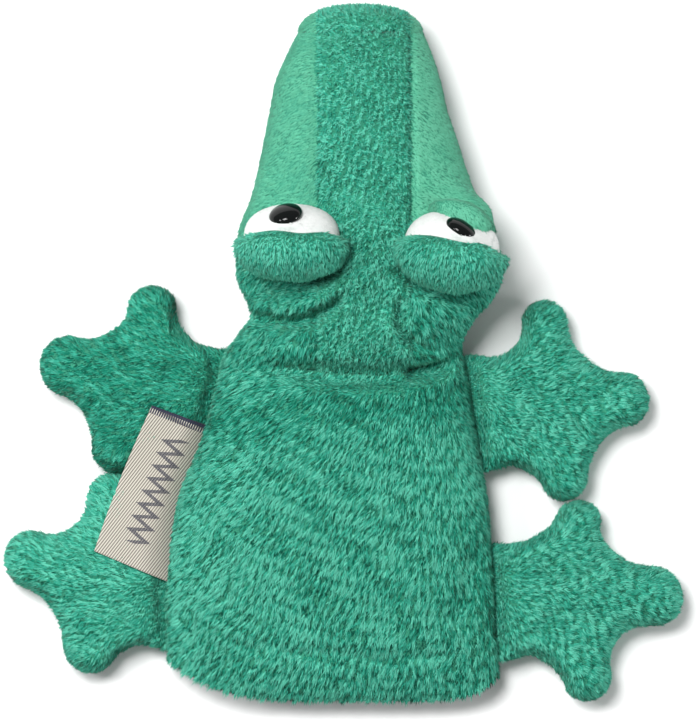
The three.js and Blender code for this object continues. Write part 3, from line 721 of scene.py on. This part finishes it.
def sewUnder(name, pile, points, motion, node, flow, seed):
    # a panel of the under side, with its thinner pile
    normals = gridNormals(points, -1)
    sewPanel(name, points, normals, motion, "plush_green", node)
    addPile(pile, points, normals, motion, "plush_green", flow, pileLooks["under"], seed, spacings["under"])


def hemLine(a, square):
    # the hem's Y at each place of the arch: it rises towards the corners by a power of the width
    across = arch(a, square)[0]
    left = across < 0
    return hem["y"] + np.where(left, *hem["rise"]) * np.abs(across) ** np.where(left, *hem["power"])


def backFlow(roots):
    # the pile runs down from a place beside the neck, in long waves
    x, y = roots[:, 0], roots[:, 1]
    fromX, fromY = pileLooks["back"]["fanFrom"]
    lean = (x - fromX) / (fromY - y) + 0.15 * np.sin(x / 17 + y / 23)
    return np.stack([lean, -np.ones(len(x)), -0.2 + 0 * x], axis=1)


def makeSleeve():
    # back and belly run from the hem, round at its corners, to the neck's fold and the throat's seam
    a, b = paramGrid(118, 112)
    start = hemLine(a, 2.5)
    rough = upperSurface(a, start + (10 - start) * b)
    end = neckSeam(rough[:, -1:, 0])
    points, normals = pressed(upperSurface(a, start + (end - start) * b), 1)
    sewPanel("sleeveBack", points, normals, neck, "plush_green", "back_panel")
    addPile("sleeveBackPile", points, normals, neck, "plush_green", backFlow, pileLooks["back"],
            seeds["back"], spacings["top"], parts=3)
    a, b = paramGrid(70, 60)
    start = hemLine(a, 4)
    points = underSurface(a, start + (under["throatY"] - start) * b, under["bellySquare"], under["ground"])
    sewUnder("sleeveBelly", "sleeveBellyPile", points, neck, "belly_panel", towards(0, -1, 0),
             seeds["belly"])


def cheekFlow(direction):
    # backwards and outwards along a cheek, and more straight back on its jowl
    def flow(roots):
        way = np.broadcast_to(np.array(direction, float), roots.shape).copy()
        way[:, 0] *= 1 - 0.6 * (1 - ease(34, 62, roots[:, 1]))
        return way
    return flow


def cheekFront(roots):
    # which roots belong to the short pale pile of the snout's side: fewer and fewer towards the jowl
    chance = ease(46, 68, roots[:, 1] + 4 * ripple(roots, 12, 90))
    return np.random.default_rng(91).random(len(roots)) < chance


def noseMiddle(roots):
    # which roots of the nose carry the strip's longer pile
    inside = ease(-13, -10.5, roots[:, 0]) * (1 - ease(20.5, 23, roots[:, 0]))
    return np.random.default_rng(405).random(len(roots)) < inside


def makeHead():
    # three long panels side by side from the neck fold to the nose
    edges = [(0.0, None), (None, seams["stripLeft"]), (None, seams["stripRight"]), (1.0, None)]
    panels = [("cheekLeft", "side", "plush_pale", "cheek_left_panel", (-0.75, -0.65, -0.2)),
              ("snoutStrip", "strip", "plush_green", "snout_top_panel", (-0.45, -1, 0)),
              ("cheekRight", "side", "plush_pale", "cheek_right_panel", (0.75, -0.65, -0.2))]

    def seamAt(number, y, lap):
        fixed, x = edges[number]
        return fixed + 0 * y if x is None else archAngle(x + lap, y)

    for number, (name, look, slot, node, direction) in enumerate(panels):
        a, b = paramGrid(44, 130)
        lap = seams["stripLap" if number == 1 else "cheekLap"]
        y = 10 + (bodyShape["capStart"] - 10) * b
        u = seamAt(number, y, -lap) * (1 - a) + seamAt(number + 1, y, lap) * a
        x = upperSurface(u, y)[:, :1, 0]
        start = neckSeam(x)
        y = start + (bodyShape["capStart"] - start) * b
        u = seamAt(number, y, -lap) * (1 - a) + seamAt(number + 1, y, lap) * a
        points = upperSurface(u, y)
        width = np.linalg.norm(np.diff(points, axis=0), axis=-1).sum(0)[None, :]
        fromSeams = [a * width] if number > 0 else []
        fromSeams += [(1 - a) * width] if number < 2 else []
        points, normals = pressed(points, 1, fromSeams)
        sewPanel(name, points, normals, neck, slot, node)
        seed = seeds["head"] + 50 * number
        if look == "side":
            flow = cheekFlow(direction)
            addPile(name + "Pile", points, normals, neck, slot, flow, pileLooks[look], seed,
                    spacings["top"], keep=cheekFront)
            addPile(name + "RearPile", points, normals, neck, "plush_green", flow, pileLooks["jowl"], seed,
                    spacings["top"], keep=lambda roots: ~cheekFront(roots))
        else:
            addPile(name + "Pile", points, normals, neck, slot, towards(*direction), pileLooks[look], seed,
                    spacings["top"])


def makeNose():
    # closes the snout: the last section shrinks to a point along a quarter turn, as a power of its cosine
    a, b = paramGrid(64, 22)
    turn = b * np.pi / 2
    start = bodyShape["capStart"]
    reach = bodyShape["capEnd"] - bodyShape["pile"] - start
    last = upperSurface(a, np.full(a.shape, start))
    left, right = edgesAt(np.array(start))
    centre = np.array([(left + right) / 2, start, 0])
    rim = smoothLine(bodyShape["rim"], start) + bodyShape["rimGap"]
    closing = np.cos(turn) ** bodyShape["closing"]
    points = np.stack([centre[0] + (last[..., 0] - centre[0]) * closing, start + reach * np.sin(turn),
                       rim + (last[..., 2] - rim) * closing], axis=-1)
    points, normals = pressed(points, 1)
    sewPanel("noseCap", points, normals, "head", "plush_green", "nose_cap")
    addPile("noseCapPile", points, normals, "head", "plush_green", towards(-0.4, -0.9, -0.7),
            pileLooks["strip"], seeds["nose"], spacings["top"], keep=noseMiddle)
    addPile("noseCapSidePile", points, normals, "head", "plush_green", towards(-0.2, -0.8, -0.5),
            pileLooks["side"], seeds["nose"], spacings["top"], keep=lambda roots: ~noseMiddle(roots))


def makeThroatAndJaw():
    a, b = paramGrid(60, 26)
    start, end = under["throatY"], under["jawY"]
    points = underSurface(a, start + (end - start) * b, under["throatSquare"], under["ground"])
    sewUnder("throat", "throatPile", points, neck, "throat_panel", towards(0, -1, 0), seeds["throat"])
    # jaw: a boat shape that closes to a point at the mouth's front edge
    a, b = paramGrid(64, 90)
    start, cap, end = under["jawY"], bodyShape["capStart"], bodyShape["capEnd"] - bodyShape["pile"]
    y = start + (end - start) * np.sin(b * np.pi / 2)
    turn = np.arcsin(np.clip((y - cap) / (end - cap), 0, 1))
    section = underSurface(a, np.minimum(y, cap), under["jawSquare"], under["ground"])
    left, right = edgesAt(np.minimum(y, cap))
    centre = (left + right) / 2
    rim = smoothLine(bodyShape["rim"], y) - bodyShape["rimGap"] - under["liningStep"] * ease(46, 56, y)
    closing = np.cos(turn)
    points = np.stack([centre + (section[..., 0] - centre) * closing ** under["jawClosing"], y,
                       rim + (np.minimum(section[..., 2], rim) - rim) * closing], axis=-1)
    sewUnder("jawSkin", "jawPile", points, mouth, "jaw_panel", towards(0, -1, 0.2), seeds["jaw"])


# the mouth's plates: the solid replaced, how it moves, its cloth, height, distance from the edge,
# rear end, and the side that faces the mouth
mouthPlates = dict(
    liningUpper=("palate_upper", "head", "lining", 16.3, 0.6, 47.6, -1),
    liningLower=("palate_lower", mouth, "lining", 15.7, 0.6, 47.6, 1),
    boardUpper=("mouth_board_upper", "head", "board", 18.2, 4.5, 52.0, -1),
    boardLower=("mouth_board_lower", "jaw", "board", 13.6, 5.0, 60.0, 1),
)
plateFinish = dict(lining=("mouthLining", "mouth_lining"), board=("foamSheet", "foam_board"))


def makeMouth():
    # two smooth linings that meet at the hinge line, and a foam board behind each: plates in the
    # mouth's plan outline, which close to a point along a quarter turn
    for name, (node, motion, cloth, level, inset, rear, out) in mouthPlates.items():
        finish, slot = plateFinish[cloth]
        a, b = paramGrid(40, 70)
        cap, end = bodyShape["capStart"], bodyShape["capEnd"] - bodyShape["pile"] - inset
        y = rear + (end - rear) * np.sin(b * np.pi / 2)
        turn = np.arcsin(np.clip((y - cap) / (end - cap), 0, 1))
        left, right = edgesAt(np.minimum(y, cap))
        half = ((right - left) / 2 - inset) * np.cos(turn) ** bodyShape["closing"]
        height = level if cloth == "board" else 16 + (level - 16) * ease(47, 56, y)
        points = np.stack([(left + right) / 2 + half * (2 * a - 1), y, height + 0 * a], axis=-1)
        normals = gridNormals(points, out)
        plate = makeShell(name, points, normals, thickness[cloth], [finishes[finish]])
        place(plate, motion, slot, [node])


# eyes: ball centre and radii in millimetres, the edges of lid and brow as stations of (across, turn)
# in degrees, and the pupil's place on the ball and the way it faces, as (swing, lift) in degrees
lidRear = [(-90, 90), (-40, 125), (40, 128), (90, 90)]
eyes = dict(
    left=dict(shoulder=0.72, centre=(-21.3, 58.4, 44.0), radii=(17.6, 13.6, 15.0), tilt=0, rearShare=0.8,
              puff=1.8, edge=[(-90, -14), (-50, -17), (-10, -14), (20, -13), (60, -15), (90, -16)],
              rear=lidRear, seat=(13, 46), facing=(14, 29), pupilSeat=-0.3,
              puckers=[dict(at=(-23.7, 64.3), size=(6.0, 1.6), height=2.2)]),
    right=dict(shoulder=0.9, centre=(37.2, 55.6, 43.0), radii=(17.6, 14.0, 15.0), tilt=-9, rearShare=0.85,
               puff=2.2, edge=[(-90, -12), (-50, -18), (-10, -12), (30, -16), (60, -14), (90, -12)],
               rear=lidRear, seat=(-26, 53), facing=(-31, 15), pupilSeat=-1.8,
               brow=[(-35, -94), (-22, -68), (-10, -56), (8, -47), (24, -42), (40, -50), (54, -82)],
               puckers=[dict(at=(40.1, 61.2), size=(7.0, 2.2), height=2.6, turn=-29)]),
)
eyeSizes = dict(pupilRadius=6.2, pupilDome=3.2, footRim=0.7, footDepth=1.0, footShare=0.8, shankRadius=1.6,
                shankLength=7.0, whiteFrom=-150, whiteSpan=200, lidLift=2.4, lidStart=0.3, lipWave=1.6,
                pucker=0.35, browLift=4.8, browFront=-125, browStart=0.2, browSink=2.2)


def ballPoints(eye, across, turn, grow):
    # a point of the eyeball: across runs between its left and right poles, turn goes from the
    # front over the top to the rear; both in radians. The rear half is shallower.
    full = np.abs(np.cos(across)) ** eye["shoulder"]
    local = np.stack([np.sin(across), -np.sin(turn) * full, np.cos(turn) * full], axis=-1)
    local = local * (np.array(eye["radii"]) + np.asarray(grow)[..., None])
    local[..., 1] *= np.where(local[..., 1] < 0, eye["rearShare"], 1)
    tilt = math.radians(eye["tilt"])
    x = local[..., 0] * math.cos(tilt) - local[..., 1] * math.sin(tilt)
    y = local[..., 0] * math.sin(tilt) + local[..., 1] * math.cos(tilt)
    return np.stack([x, y, local[..., 2]], axis=-1) + np.array(eye["centre"])


def makeEye(side, eye, seed):
    label = side.capitalize()
    a, b = paramGrid(56, 44)
    s = eyeSizes
    turn = np.radians(s["whiteFrom"] + s["whiteSpan"] * b)
    points = ballPoints(eye, (a - 0.5) * np.pi, turn, 0 * a)
    points[..., 2] += bumpHeight(points[..., 0], points[..., 1], eye["puckers"])
    normals = gridNormals(points, -1)
    sewPad(f"eyeWhite{label}", points, normals, "eye", "whiteGround", "head", "plush_white",
           [f"eye_white_{side}"])
    addPile(f"eyeWhitePile{label}", points, normals, "head", "plush_white", towards(0, 0.3, -1),
            pileLooks["white"], seed, spacings["white"])
    # lid: a pouch over the rear of the ball, its front edge a rolled lip
    a, b = paramGrid(80, 64)
    across = (a - 0.5) * np.pi
    degrees = np.degrees(across)
    edge = smoothLine(eye["edge"], degrees) + s["lipWave"] * np.sin(a * 19 + seed) * np.cos(across)
    rear = smoothLine(eye["rear"], degrees)
    lip = s["lidStart"] + s["lidLift"] * np.sin(np.clip(b * 6, 0, 1) * np.pi / 2)
    sag = eye["puff"] * np.sin(b * np.pi) ** 0.8 * np.cos(across) ** 0.5
    pucker = s["pucker"] * np.sin(a * 27 + 3 * np.sin(b * 5)) * np.sin(b * np.pi)
    points = ballPoints(eye, across, np.radians(edge + (rear - edge) * b), lip + sag + pucker)
    normals = gridNormals(points, -1)
    sewPad(f"eyelid{label}", points, normals, "eye", "greenGround", "head", "plush_green",
           [f"eyelid_{side}"])
    addPile(f"eyelidPile{label}", points, normals, "head", "plush_green", towards(0, -1, -0.3),
            pileLooks["lid"], seed + 5, spacings["top"])
    if "brow" in eye:
        makeBrow(label, eye, seed + 9)
    makePupil(side, label, eye)


def makeBrow(label, eye, seed):
    # a roll of the cheek's cloth over the ball's front, from its own edge down to the cheek
    a, b = paramGrid(70, 40)
    first, last = eye["brow"][0][0], eye["brow"][-1][0]
    degrees = first + (last - first) * a
    edge = smoothLine(eye["brow"], degrees)
    s = eyeSizes
    lift = s["browLift"] * np.sin(np.clip(b * 4, 0, 1) * np.pi / 2) * np.sin(a * np.pi) ** 0.35
    lift = lift * (1 - 0.6 * ease(0.5, 1, a))
    lift = s["browStart"] + lift * (1 - 0.75 * ease(0.2, 0.85, b)) - s["browSink"] * ease(0.6, 1, b)
    turn = np.radians(edge + (s["browFront"] - edge) * b)
    points = ballPoints(eye, np.radians(degrees), turn, lift)
    normals = gridNormals(points, 1)
    sewPad(f"brow{label}", points, normals, "eye", "greenGround", "head", "plush_pale", [])
    addPile(f"browPile{label}", points, normals, "head", "plush_pale", towards(0.5, -0.6, 0),
            pileLooks["side"], seed, spacings["top"])


def aimed(angles):
    swing, lift = (math.radians(angle) for angle in angles)
    return np.array([-math.sin(swing) * math.cos(lift), math.cos(swing) * math.cos(lift), math.sin(lift)])


def makePupil(side, label, eye):
    # a lathe-turned dome with a thin foot and its shank: seated on the ball, facing its own way
    seat = aimed(eye["seat"])
    onBall = seat / np.linalg.norm(seat / np.array(eye["radii"]))
    middle = onBall + seat * eye["pupilSeat"] + np.array(eye["centre"])
    aim = aimed(eye["facing"])
    wide = unit(np.cross(aim, up))
    high = np.cross(wide, aim)
    s = eyeSizes
    radius, shank, shankEnd = s["pupilRadius"], s["shankRadius"], -s["shankLength"]
    turns = np.linspace(0, np.pi / 2, 20)
    profile = [(radius * math.sin(t), s["pupilDome"] * math.cos(t)) for t in turns]
    profile += [(radius, -s["footRim"]), (radius * s["footShare"], -s["footDepth"]),
                (shank, -s["footDepth"]), (shank, shankEnd), (0, shankEnd)]
    r, h = np.array(profile).T
    angle = np.linspace(0, 2 * np.pi, 48, endpoint=False)
    circle = np.cos(angle)[None, :, None] * wide + np.sin(angle)[None, :, None] * high
    points = r[:, None, None] * circle + h[:, None, None] * aim + middle
    rows, columns = points.shape[:2]
    at = np.arange(rows * columns).reshape(rows, columns)
    beside = np.roll(at, -1, axis=1)
    quads = np.stack([at[:-1], beside[:-1], beside[1:], at[1:]], -1).reshape(-1, 4)
    pupil = newObject(f"pupil{label}", points.reshape(-1, 3), quads, [finishes["pupil"]])
    mergeDoubles(pupil)
    place(pupil, "head", "eye_black", [f"pupil_{side}"])


def pupilMaterial():
    # polished black plastic: a faint bloom of dust in its roughness
    material, tree, shader = newMaterial("pupilBlack", colour=linear("070a0a"), specular=0.2)
    place = addNode(tree, "TexCoord")
    dust = addNode(tree, "TexNoise", {"Scale": 400})
    spread = addNode(tree, "MapRange", {"To Min": 0.04, "To Max": 0.14})
    join(tree, (place.outputs["Object"], dust.inputs["Vector"]),
         (dust.outputs["Fac"], spread.inputs["Value"]), (spread.outputs[0], shader.inputs["Roughness"]))
    return material


finishes["pupil"] = pupilMaterial()

# hands and feet: a palm, a root in the side seam and three fingers, each [x, y, radius]
limbShape = dict(ease=0.8, middle=7.6, flat=8.2, ground=0.9, web=12.5, rootTaper=16.0, rootHalf=2.2,
                 rows=132, columns=24, crease=(5, 19), creaseDepth=1.3, creaseWidth=2.4)
limbCloth = dict(scale=10.0, pressure=4.0, grow=0.06, frames=20, cap=1.5, pinned=4.0)
limbs = dict(
    hand_right=dict(side=1, shade=-0.2, root=(48, -5, 20.6), palm=(72.5, -3.0, 15.9),
                    fingers=[(72.2, 27.9, 8.2), (101.2, 0.2, 9.8), (79.4, -27.8, 8.5)]),
    foot_right=dict(side=1, shade=-0.1, root=(55, -75, 20.8), palm=(78.5, -72, 16.2),
                    fingers=[(84.0, -45.6, 8.4), (112.8, -72.4, 10.6), (87.6, -102.0, 8.9)]),
    hand_left=dict(side=-1, shade=-0.85, root=(-52, -3, 21.4), palm=(-75.0, 4.0, 16.6),
                   fingers=[(-73.4, 33.0, 8.9), (-104.4, 12.4, 10.8), (-86.4, -18.2, 8.8)]),
    foot_left=dict(side=-1, shade=-0.1, root=(-67, -73, 18.4), palm=(-88.2, -68.0, 16.0),
                   fingers=[(-88.6, -37.8, 9.2), (-118.0, -59.8, 10.2), (-96.4, -91.2, 9.4)]),
)


def limbDepth(limb, x, y):
    # how far inside the limb's outline a point is: rounded bars from the palm, joined with soft webs
    palm = limb["palm"]
    joined = None
    for end in [limb["root"]] + limb["fingers"]:
        dx, dy = end[0] - palm[0], end[1] - palm[1]
        t = np.clip(((x - palm[0]) * dx + (y - palm[1]) * dy) / (dx * dx + dy * dy), 0, 1)
        bar = np.hypot(x - palm[0] - dx * t, y - palm[1] - dy * t) - (palm[2] + (end[2] - palm[2]) * t)
        bar = bar - limbShape["ease"]
        if joined is None:
            joined = bar
            continue
        near = np.maximum(limbShape["web"] - np.abs(joined - bar), 0) / limbShape["web"]
        joined = np.minimum(joined, bar) - near * near * limbShape["web"] / 4
    return -joined


def seamX(side, y):
    left, right = edgesAt(np.minimum(y, 24))
    return right - 1.0 if side > 0 else left + 1.0


def limbOutline(limb, angle):
    # the distance from the palm to the outline at each angle, by halving the interval
    inside, outside = np.full(angle.shape, 6.0), np.full(angle.shape, 70.0)
    for _ in range(24):
        middle = (inside + outside) / 2
        x = limb["palm"][0] + middle * np.cos(angle)
        y = limb["palm"][1] + middle * np.sin(angle)
        within = (limbDepth(limb, x, y) > 0) & (limb["side"] * (x - seamX(limb["side"], y)) > 0)
        inside, outside = np.where(within, middle, inside), np.where(within, outside, middle)
    return inside


def limbHeight(limb, x, y):
    s = limbShape
    depth = np.clip(limbDepth(limb, x, y), 0, s["flat"])
    pillow = np.sqrt(s["flat"] ** 2 - (s["flat"] - depth) ** 2)
    far = np.clip(limb["side"] * (x - seamX(limb["side"], y)) / s["rootTaper"], 0, 1)
    return np.minimum(pillow, s["rootHalf"] + (s["flat"] - s["rootHalf"]) * np.sin(far * np.pi / 2))


def limbFolds(limb):
    # short creases from each notch between the fingers towards the palm
    s = limbShape
    palm = np.array(limb["palm"][:2])
    ends = [np.array(end[:2]) for end in [limb["root"]] + limb["fingers"]]
    turns = sorted(math.atan2(*(end - palm)[::-1]) for end in ends)
    turns.append(turns[0] + 2 * math.pi)
    lines = []
    for before, after in zip(turns[:-1], turns[1:]):
        way = np.array([math.cos((before + after) / 2), math.sin((before + after) / 2)])
        line = [tuple(palm + way * reach) for reach in s["crease"]]
        lines.append(dict(line=line, depth=s["creaseDepth"], width=s["creaseWidth"], bank=0.2))
    return lines


def limbGrids(limb):
    # two skins sewn along the outline, as rings drawn round the palm: top and under
    a, b = paramGrid(limbShape["rows"], limbShape["columns"])
    angle = a * 2 * np.pi
    radius = limbOutline(limb, angle) * np.sin(b * np.pi / 2) ** 0.9
    x = limb["palm"][0] + radius * np.cos(angle)
    y = limb["palm"][1] + radius * np.sin(angle)
    half = limbHeight(limb, x, y) * np.where(b == 1, 0, 1)
    return [np.stack([x, y, np.maximum(limbShape["middle"] + sign * half, limbShape["ground"])], axis=-1)
            for sign in (1, -1)]


def limbClothObject(name, limb, grids):
    # the two grids as one closed pillow, enlarged so that the solver's weights suit it
    c = limbCloth
    points = np.concatenate([grid.reshape(-1, 3) for grid in grids])
    places, joined = np.unique(np.round(points, 3), axis=0, return_inverse=True)
    joined = joined.ravel()
    rows, columns = grids[0].shape[:2]
    quads = gridQuads(rows, columns)
    quads = np.concatenate([quads[:, ::-1], quads + rows * columns])
    middle = quads % columns == 0
    centre = middle.sum(1) == 2
    faces = joined[quads[~centre]].tolist()
    wedges = joined[quads[centre]]
    keep = np.array([[k for k in range(4) if k != int(np.flatnonzero(row)[1])] for row in middle[centre]])
    faces += np.take_along_axis(wedges, keep, axis=1).tolist()
    mesh = bpy.data.meshes.new(name)
    mesh.from_pydata((places * mm * c["scale"]).tolist(), [], faces)
    pillow = bpy.data.objects.new(name, mesh)
    bpy.context.scene.collection.objects.link(pillow)
    nearSeam = limb["side"] * (places[:, 0] - seamX(limb["side"], places[:, 1])) < c["pinned"]
    pillow.vertex_groups.new(name="sewn").add(np.flatnonzero(nearSeam).tolist(), 1.0, "REPLACE")
    cloth = pillow.modifiers.new("Cloth", "CLOTH")
    cloth.settings.quality = 6
    cloth.settings.use_pressure = True
    cloth.settings.uniform_pressure_force = c["pressure"]
    cloth.settings.shrink_min = -c["grow"]
    cloth.settings.vertex_group_mass = "sewn"
    cloth.settings.effector_weights.gravity = 0
    cloth.point_cache.frame_start = 1
    cloth.point_cache.frame_end = c["frames"]
    return pillow, places, joined


def puffLimbs():
    # all four limbs are blown up together by the cloth solver; a point moves no further than the cap
    grids = {name: limbGrids(limb) for name, limb in limbs.items()}
    c = limbCloth
    pillows = {name: limbClothObject(name + "Pillow", limbs[name], grids[name]) for name in limbs}
    scene = bpy.context.scene
    for number in range(1, c["frames"] + 1):
        scene.frame_set(number)
    graph = bpy.context.evaluated_depsgraph_get()
    for name, (pillow, places, joined) in pillows.items():
        blown = pillow.evaluated_get(graph)
        co = np.zeros(len(places) * 3, np.float32)
        blown.data.vertices.foreach_get("co", co)
        moved = co.reshape(-1, 3) / (mm * c["scale"]) - places
        far = np.linalg.norm(moved, axis=1, keepdims=True)
        places = places + moved * np.minimum(1, c["cap"] / np.maximum(far, 1e-9))
        places[:, 2] = np.maximum(places[:, 2], limbShape["ground"])
        shape = grids[name][0].shape
        count = shape[0] * shape[1]
        grids[name] = [places[joined[:count]].reshape(shape), places[joined[count:]].reshape(shape)]
        print(name, "blown up, farthest move", round(float(far.max()), 2), "mm")
    for pillow, _, _ in pillows.values():
        mesh = pillow.data
        bpy.data.objects.remove(pillow)
        bpy.data.meshes.remove(mesh)
    scene.frame_set(1)
    return grids


def makeLimb(name, limb, grids, seed):
    # the skins, pressed in by short creases between the fingers, and their pile
    words = name.split("_")
    label = words[0] + words[1].capitalize()
    rootX = float(seamX(limb["side"], np.array(float(limb["root"][1]))))
    bend = [((rootX + limb["side"] * reach) * mm, limb["root"][1] * mm, 0.008) for reach in (-1.0, 11.0)]
    motion = dict(a="sleeve", b=name, start=bend[0], end=bend[1])
    centre = np.array([limb["root"][0] - limb["side"] * 14.0, limb["root"][1] + 9.0, 0])

    def flow(roots):
        way = roots - centre
        way[:, 2] = 0
        return unit(way)
    for skin, sign in (("top", 1), ("under", -1)):
        points = grids[0 if sign > 0 else 1].copy()
        if sign > 0:
            press = foldHeight(points[..., 0], points[..., 1], limbFolds(limb))
            points[..., 2] += press * np.clip((points[..., 2] - limbShape["middle"]) / 5, 0, 1)
        normals = gridNormals(points, -sign)
        normals[:, 0] = up * sign
        sewPad(f"{label}{skin.capitalize()}", points, normals, "limb", "greenGround", motion, "plush_green",
               [f"{name}_{skin}"], ring=True)
        look = dict(pileLooks["limb" if sign > 0 else "under"], fanFrom=centre[:2])
        look["shade"] += limb["shade"]
        addPile(f"{label}{skin.capitalize()}Pile", points, normals, motion, "plush_green", flow, look,
                seed + 3 * sign, spacings["top"] if sign > 0 else spacings["under"])


# label: a woven strip folded once; its two ends are sewn in the left side seam
labelShape = dict(
    seamFrom=-67.5, seamTo=-9.5, rootHeight=12.5, foldLow=(-94.0, -56.0), foldHigh=(-72.6, -2.2),
    foldBow=1.0, level=17.9, gap=0.55, thickness=0.45, flat=(0.058, 0.054),
    ribs=(-1.9, 6.6), threads=(11.0, 5.0),
    zigzag=(8.0, 50.0), zigzagAt=12.4, stitchPitch=5.0, stitchWidth=1.9, selvedge=55.1, dotsEnd=57.0)


def labelMaterial():
    # slanted rib weave in greige, with a stitched zigzag and a dark selvedge at its upper end
    material, tree, shader = newMaterial("labelWeave", sheen=0.15)
    cloth = addNode(tree, "UVMap", uv_map="cloth")
    split = addNode(tree, "SeparateXYZ")
    join(tree, (cloth.outputs["UV"], split.inputs[0]))

    def worked(operation, *given):
        node = addNode(tree, "Math", operation=operation)
        for socket, value in zip(node.inputs, given):
            if isinstance(value, (int, float)):
                socket.default_value = value
            else:
                join(tree, (value, socket))
        return node.outputs[0]

    def slanted(alongRate, acrossRate):
        # threads at a slant: a sine of the place along and across, from 0 to 1
        turn = worked("ADD", worked("MULTIPLY", along, alongRate), worked("MULTIPLY", across, acrossRate))
        return worked("MULTIPLY_ADD", worked("SINE", turn), 0.5, 0.5)

    along, across = split.outputs["X"], split.outputs["Y"]
    s = labelShape
    ribs = slanted(*s["ribs"])
    threads = slanted(*s["threads"])
    ground = addNode(tree, "Mix", {"A": linear("4a463d"), "B": linear("cbc5b9")}, data_type="RGBA")
    raised = worked("MULTIPLY_ADD", threads, 0.2, worked("MULTIPLY", ribs, 0.85))
    join(tree, (raised, ground.inputs["Factor"]))
    # a stitched zigzag: the distance to a folded line, along the middle of the upper face
    pitch = s["stitchPitch"]
    wave = worked("ABSOLUTE", worked("SUBTRACT", worked("MODULO", along, pitch), pitch / 2))
    line = worked("ABSOLUTE", worked("SUBTRACT", worked("SUBTRACT", across, s["zigzagAt"]),
                                     worked("MULTIPLY_ADD", wave, 2.8, -3.5)))
    stitch = worked("GREATER_THAN", worked("SINE", worked("MULTIPLY", along, 16.0)), -0.75)
    first, last = s["zigzag"]
    inside = worked("MULTIPLY", worked("GREATER_THAN", along, first), worked("LESS_THAN", along, last))
    band = worked("MULTIPLY", worked("LESS_THAN", line, s["stitchWidth"]), stitch)
    dark = worked("MULTIPLY", band, inside)
    # the dark selvedge, with a row of light dots
    selvedge = worked("GREATER_THAN", along, s["selvedge"])
    dots = worked("MULTIPLY", worked("GREATER_THAN", worked("SINE", worked("MULTIPLY", across, 7.0)), 0.45),
                  worked("LESS_THAN", along, s["dotsEnd"]))
    edge = worked("MULTIPLY", selvedge, worked("SUBTRACT", 1.0, dots))
    ink = addNode(tree, "Mix", {"B": linear("171b33")}, data_type="RGBA")
    relief = addNode(tree, "Bump", {"Strength": 0.6, "Distance": 0.0002})
    join(tree, (ground.outputs["Result"], ink.inputs["A"]),
         (worked("MAXIMUM", dark, edge), ink.inputs["Factor"]),
         (ink.outputs["Result"], shader.inputs["Base Color"]),
         (worked("MULTIPLY_ADD", ribs, -0.15, 0.8), shader.inputs["Roughness"]),
         (worked("ADD", ribs, worked("MULTIPLY", threads, 0.4)), relief.inputs["Height"]),
         (relief.outputs["Normal"], shader.inputs["Normal"]))
    return material


def makeLabel():
    # a sheet carried along a hairpin: from the body's seam over the limbs, round the fold and back
    # beneath itself. Each line across runs from the seam to the fold's own straight edge.
    s = labelShape
    a, b = paramGrid(90, 90)
    seamY = s["seamFrom"] + (s["seamTo"] - s["seamFrom"]) * a
    root = np.stack([edgesAt(seamY)[0] + 0.6, seamY], axis=-1)
    low, high = np.array(s["foldLow"]), np.array(s["foldHigh"])
    bow = s["foldBow"] * np.sin(a * np.pi)[..., None] * np.array([1.0, 0])
    fold = low + (high - low) * a[..., None] - bow
    reach = np.linalg.norm(fold - root, axis=-1)
    outward = (fold - root) / reach[..., None]
    half = s["gap"] / 2 + s["thickness"] / 2
    path = b * (2 * reach + np.pi * half)
    out = np.clip(path, 0, reach)
    bend = np.clip((path - reach) / half, 0, np.pi)
    back = np.clip(path - reach - np.pi * half, 0, reach)
    gone = out - back + half * np.sin(bend)
    share = np.clip(gone / reach, 0, 1)
    rise = s["rootHeight"] + (s["level"] - s["rootHeight"]) * np.sin(np.clip(share * 2.4, 0, 1) * np.pi / 2)
    sway = 0.7 * np.sin(a * 7.5 + 1) * share ** 2 - 0.9 * np.exp(-((a - 0.5) / 0.13) ** 2) * share
    height = rise + half * np.cos(bend) + sway
    points = np.concatenate([root + outward * gone[..., None], height[..., None]], axis=-1)
    normals = gridNormals(points, 1)
    points = points + normals * s["thickness"] / 2
    label = makeShell("wovenLabel", points, normals, s["thickness"], [labelMaterial()])
    # cloth coordinates in millimetres: along the label from its lower end, and in from the fold
    layer = label.data.uv_layers.new(name="cloth")
    corners = np.zeros(len(label.data.loops), np.int32)
    label.data.loops.foreach_get("vertex_index", corners)
    co = np.zeros(len(label.data.vertices) * 3, np.float32)
    label.data.vertices.foreach_get("co", co)
    local = co.reshape(-1, 3)[:, :2] / mm - low
    way = unit(high - low)
    cloth = np.stack([local @ way, local @ np.array([way[1], -way[0]])], axis=1)
    layer.data.foreach_set("uv", cloth[corners].astype(np.float32).ravel())
    hinge = np.array(joints["label_flap"]["pos_m"])
    across = np.array([*outward[len(a) // 2, 0], 0])
    motion = dict(a="sleeve", b="label", start=tuple(hinge - 0.004 * across),
                  end=tuple(hinge + 0.002 * across))
    place(label, motion, "label_weave", ["woven_label"])
    print("label made")


def finishCadNodes():
    # the pieces inside keep their solids and get their own finish
    inside = dict(snout_padding="wadding",
                  eye_stuffing_left="wadding", eye_stuffing_right="wadding",
                  eye_washer_left="washer", eye_washer_right="washer")
    for name in limbs:
        inside[f"{name}_wadding"] = "wadding"
    for node, finish in inside.items():
        mesh = frame["nodes"][node].data
        mesh.materials.clear()
        mesh.materials.append(finishes[finish])


blownLimbs = puffLimbs()
makeSleeve()
makeHead()
makeNose()
makeThroatAndJaw()
makeMouth()
for order, (side, eye) in enumerate(eyes.items()):
    makeEye(side, eye, seeds["eyes"] + 50 * order)
for order, (name, limb) in enumerate(limbs.items()):
    makeLimb(name, limb, blownLimbs[name], seeds["limbs"] + 40 * order)
makeLabel()
finishCadNodes()
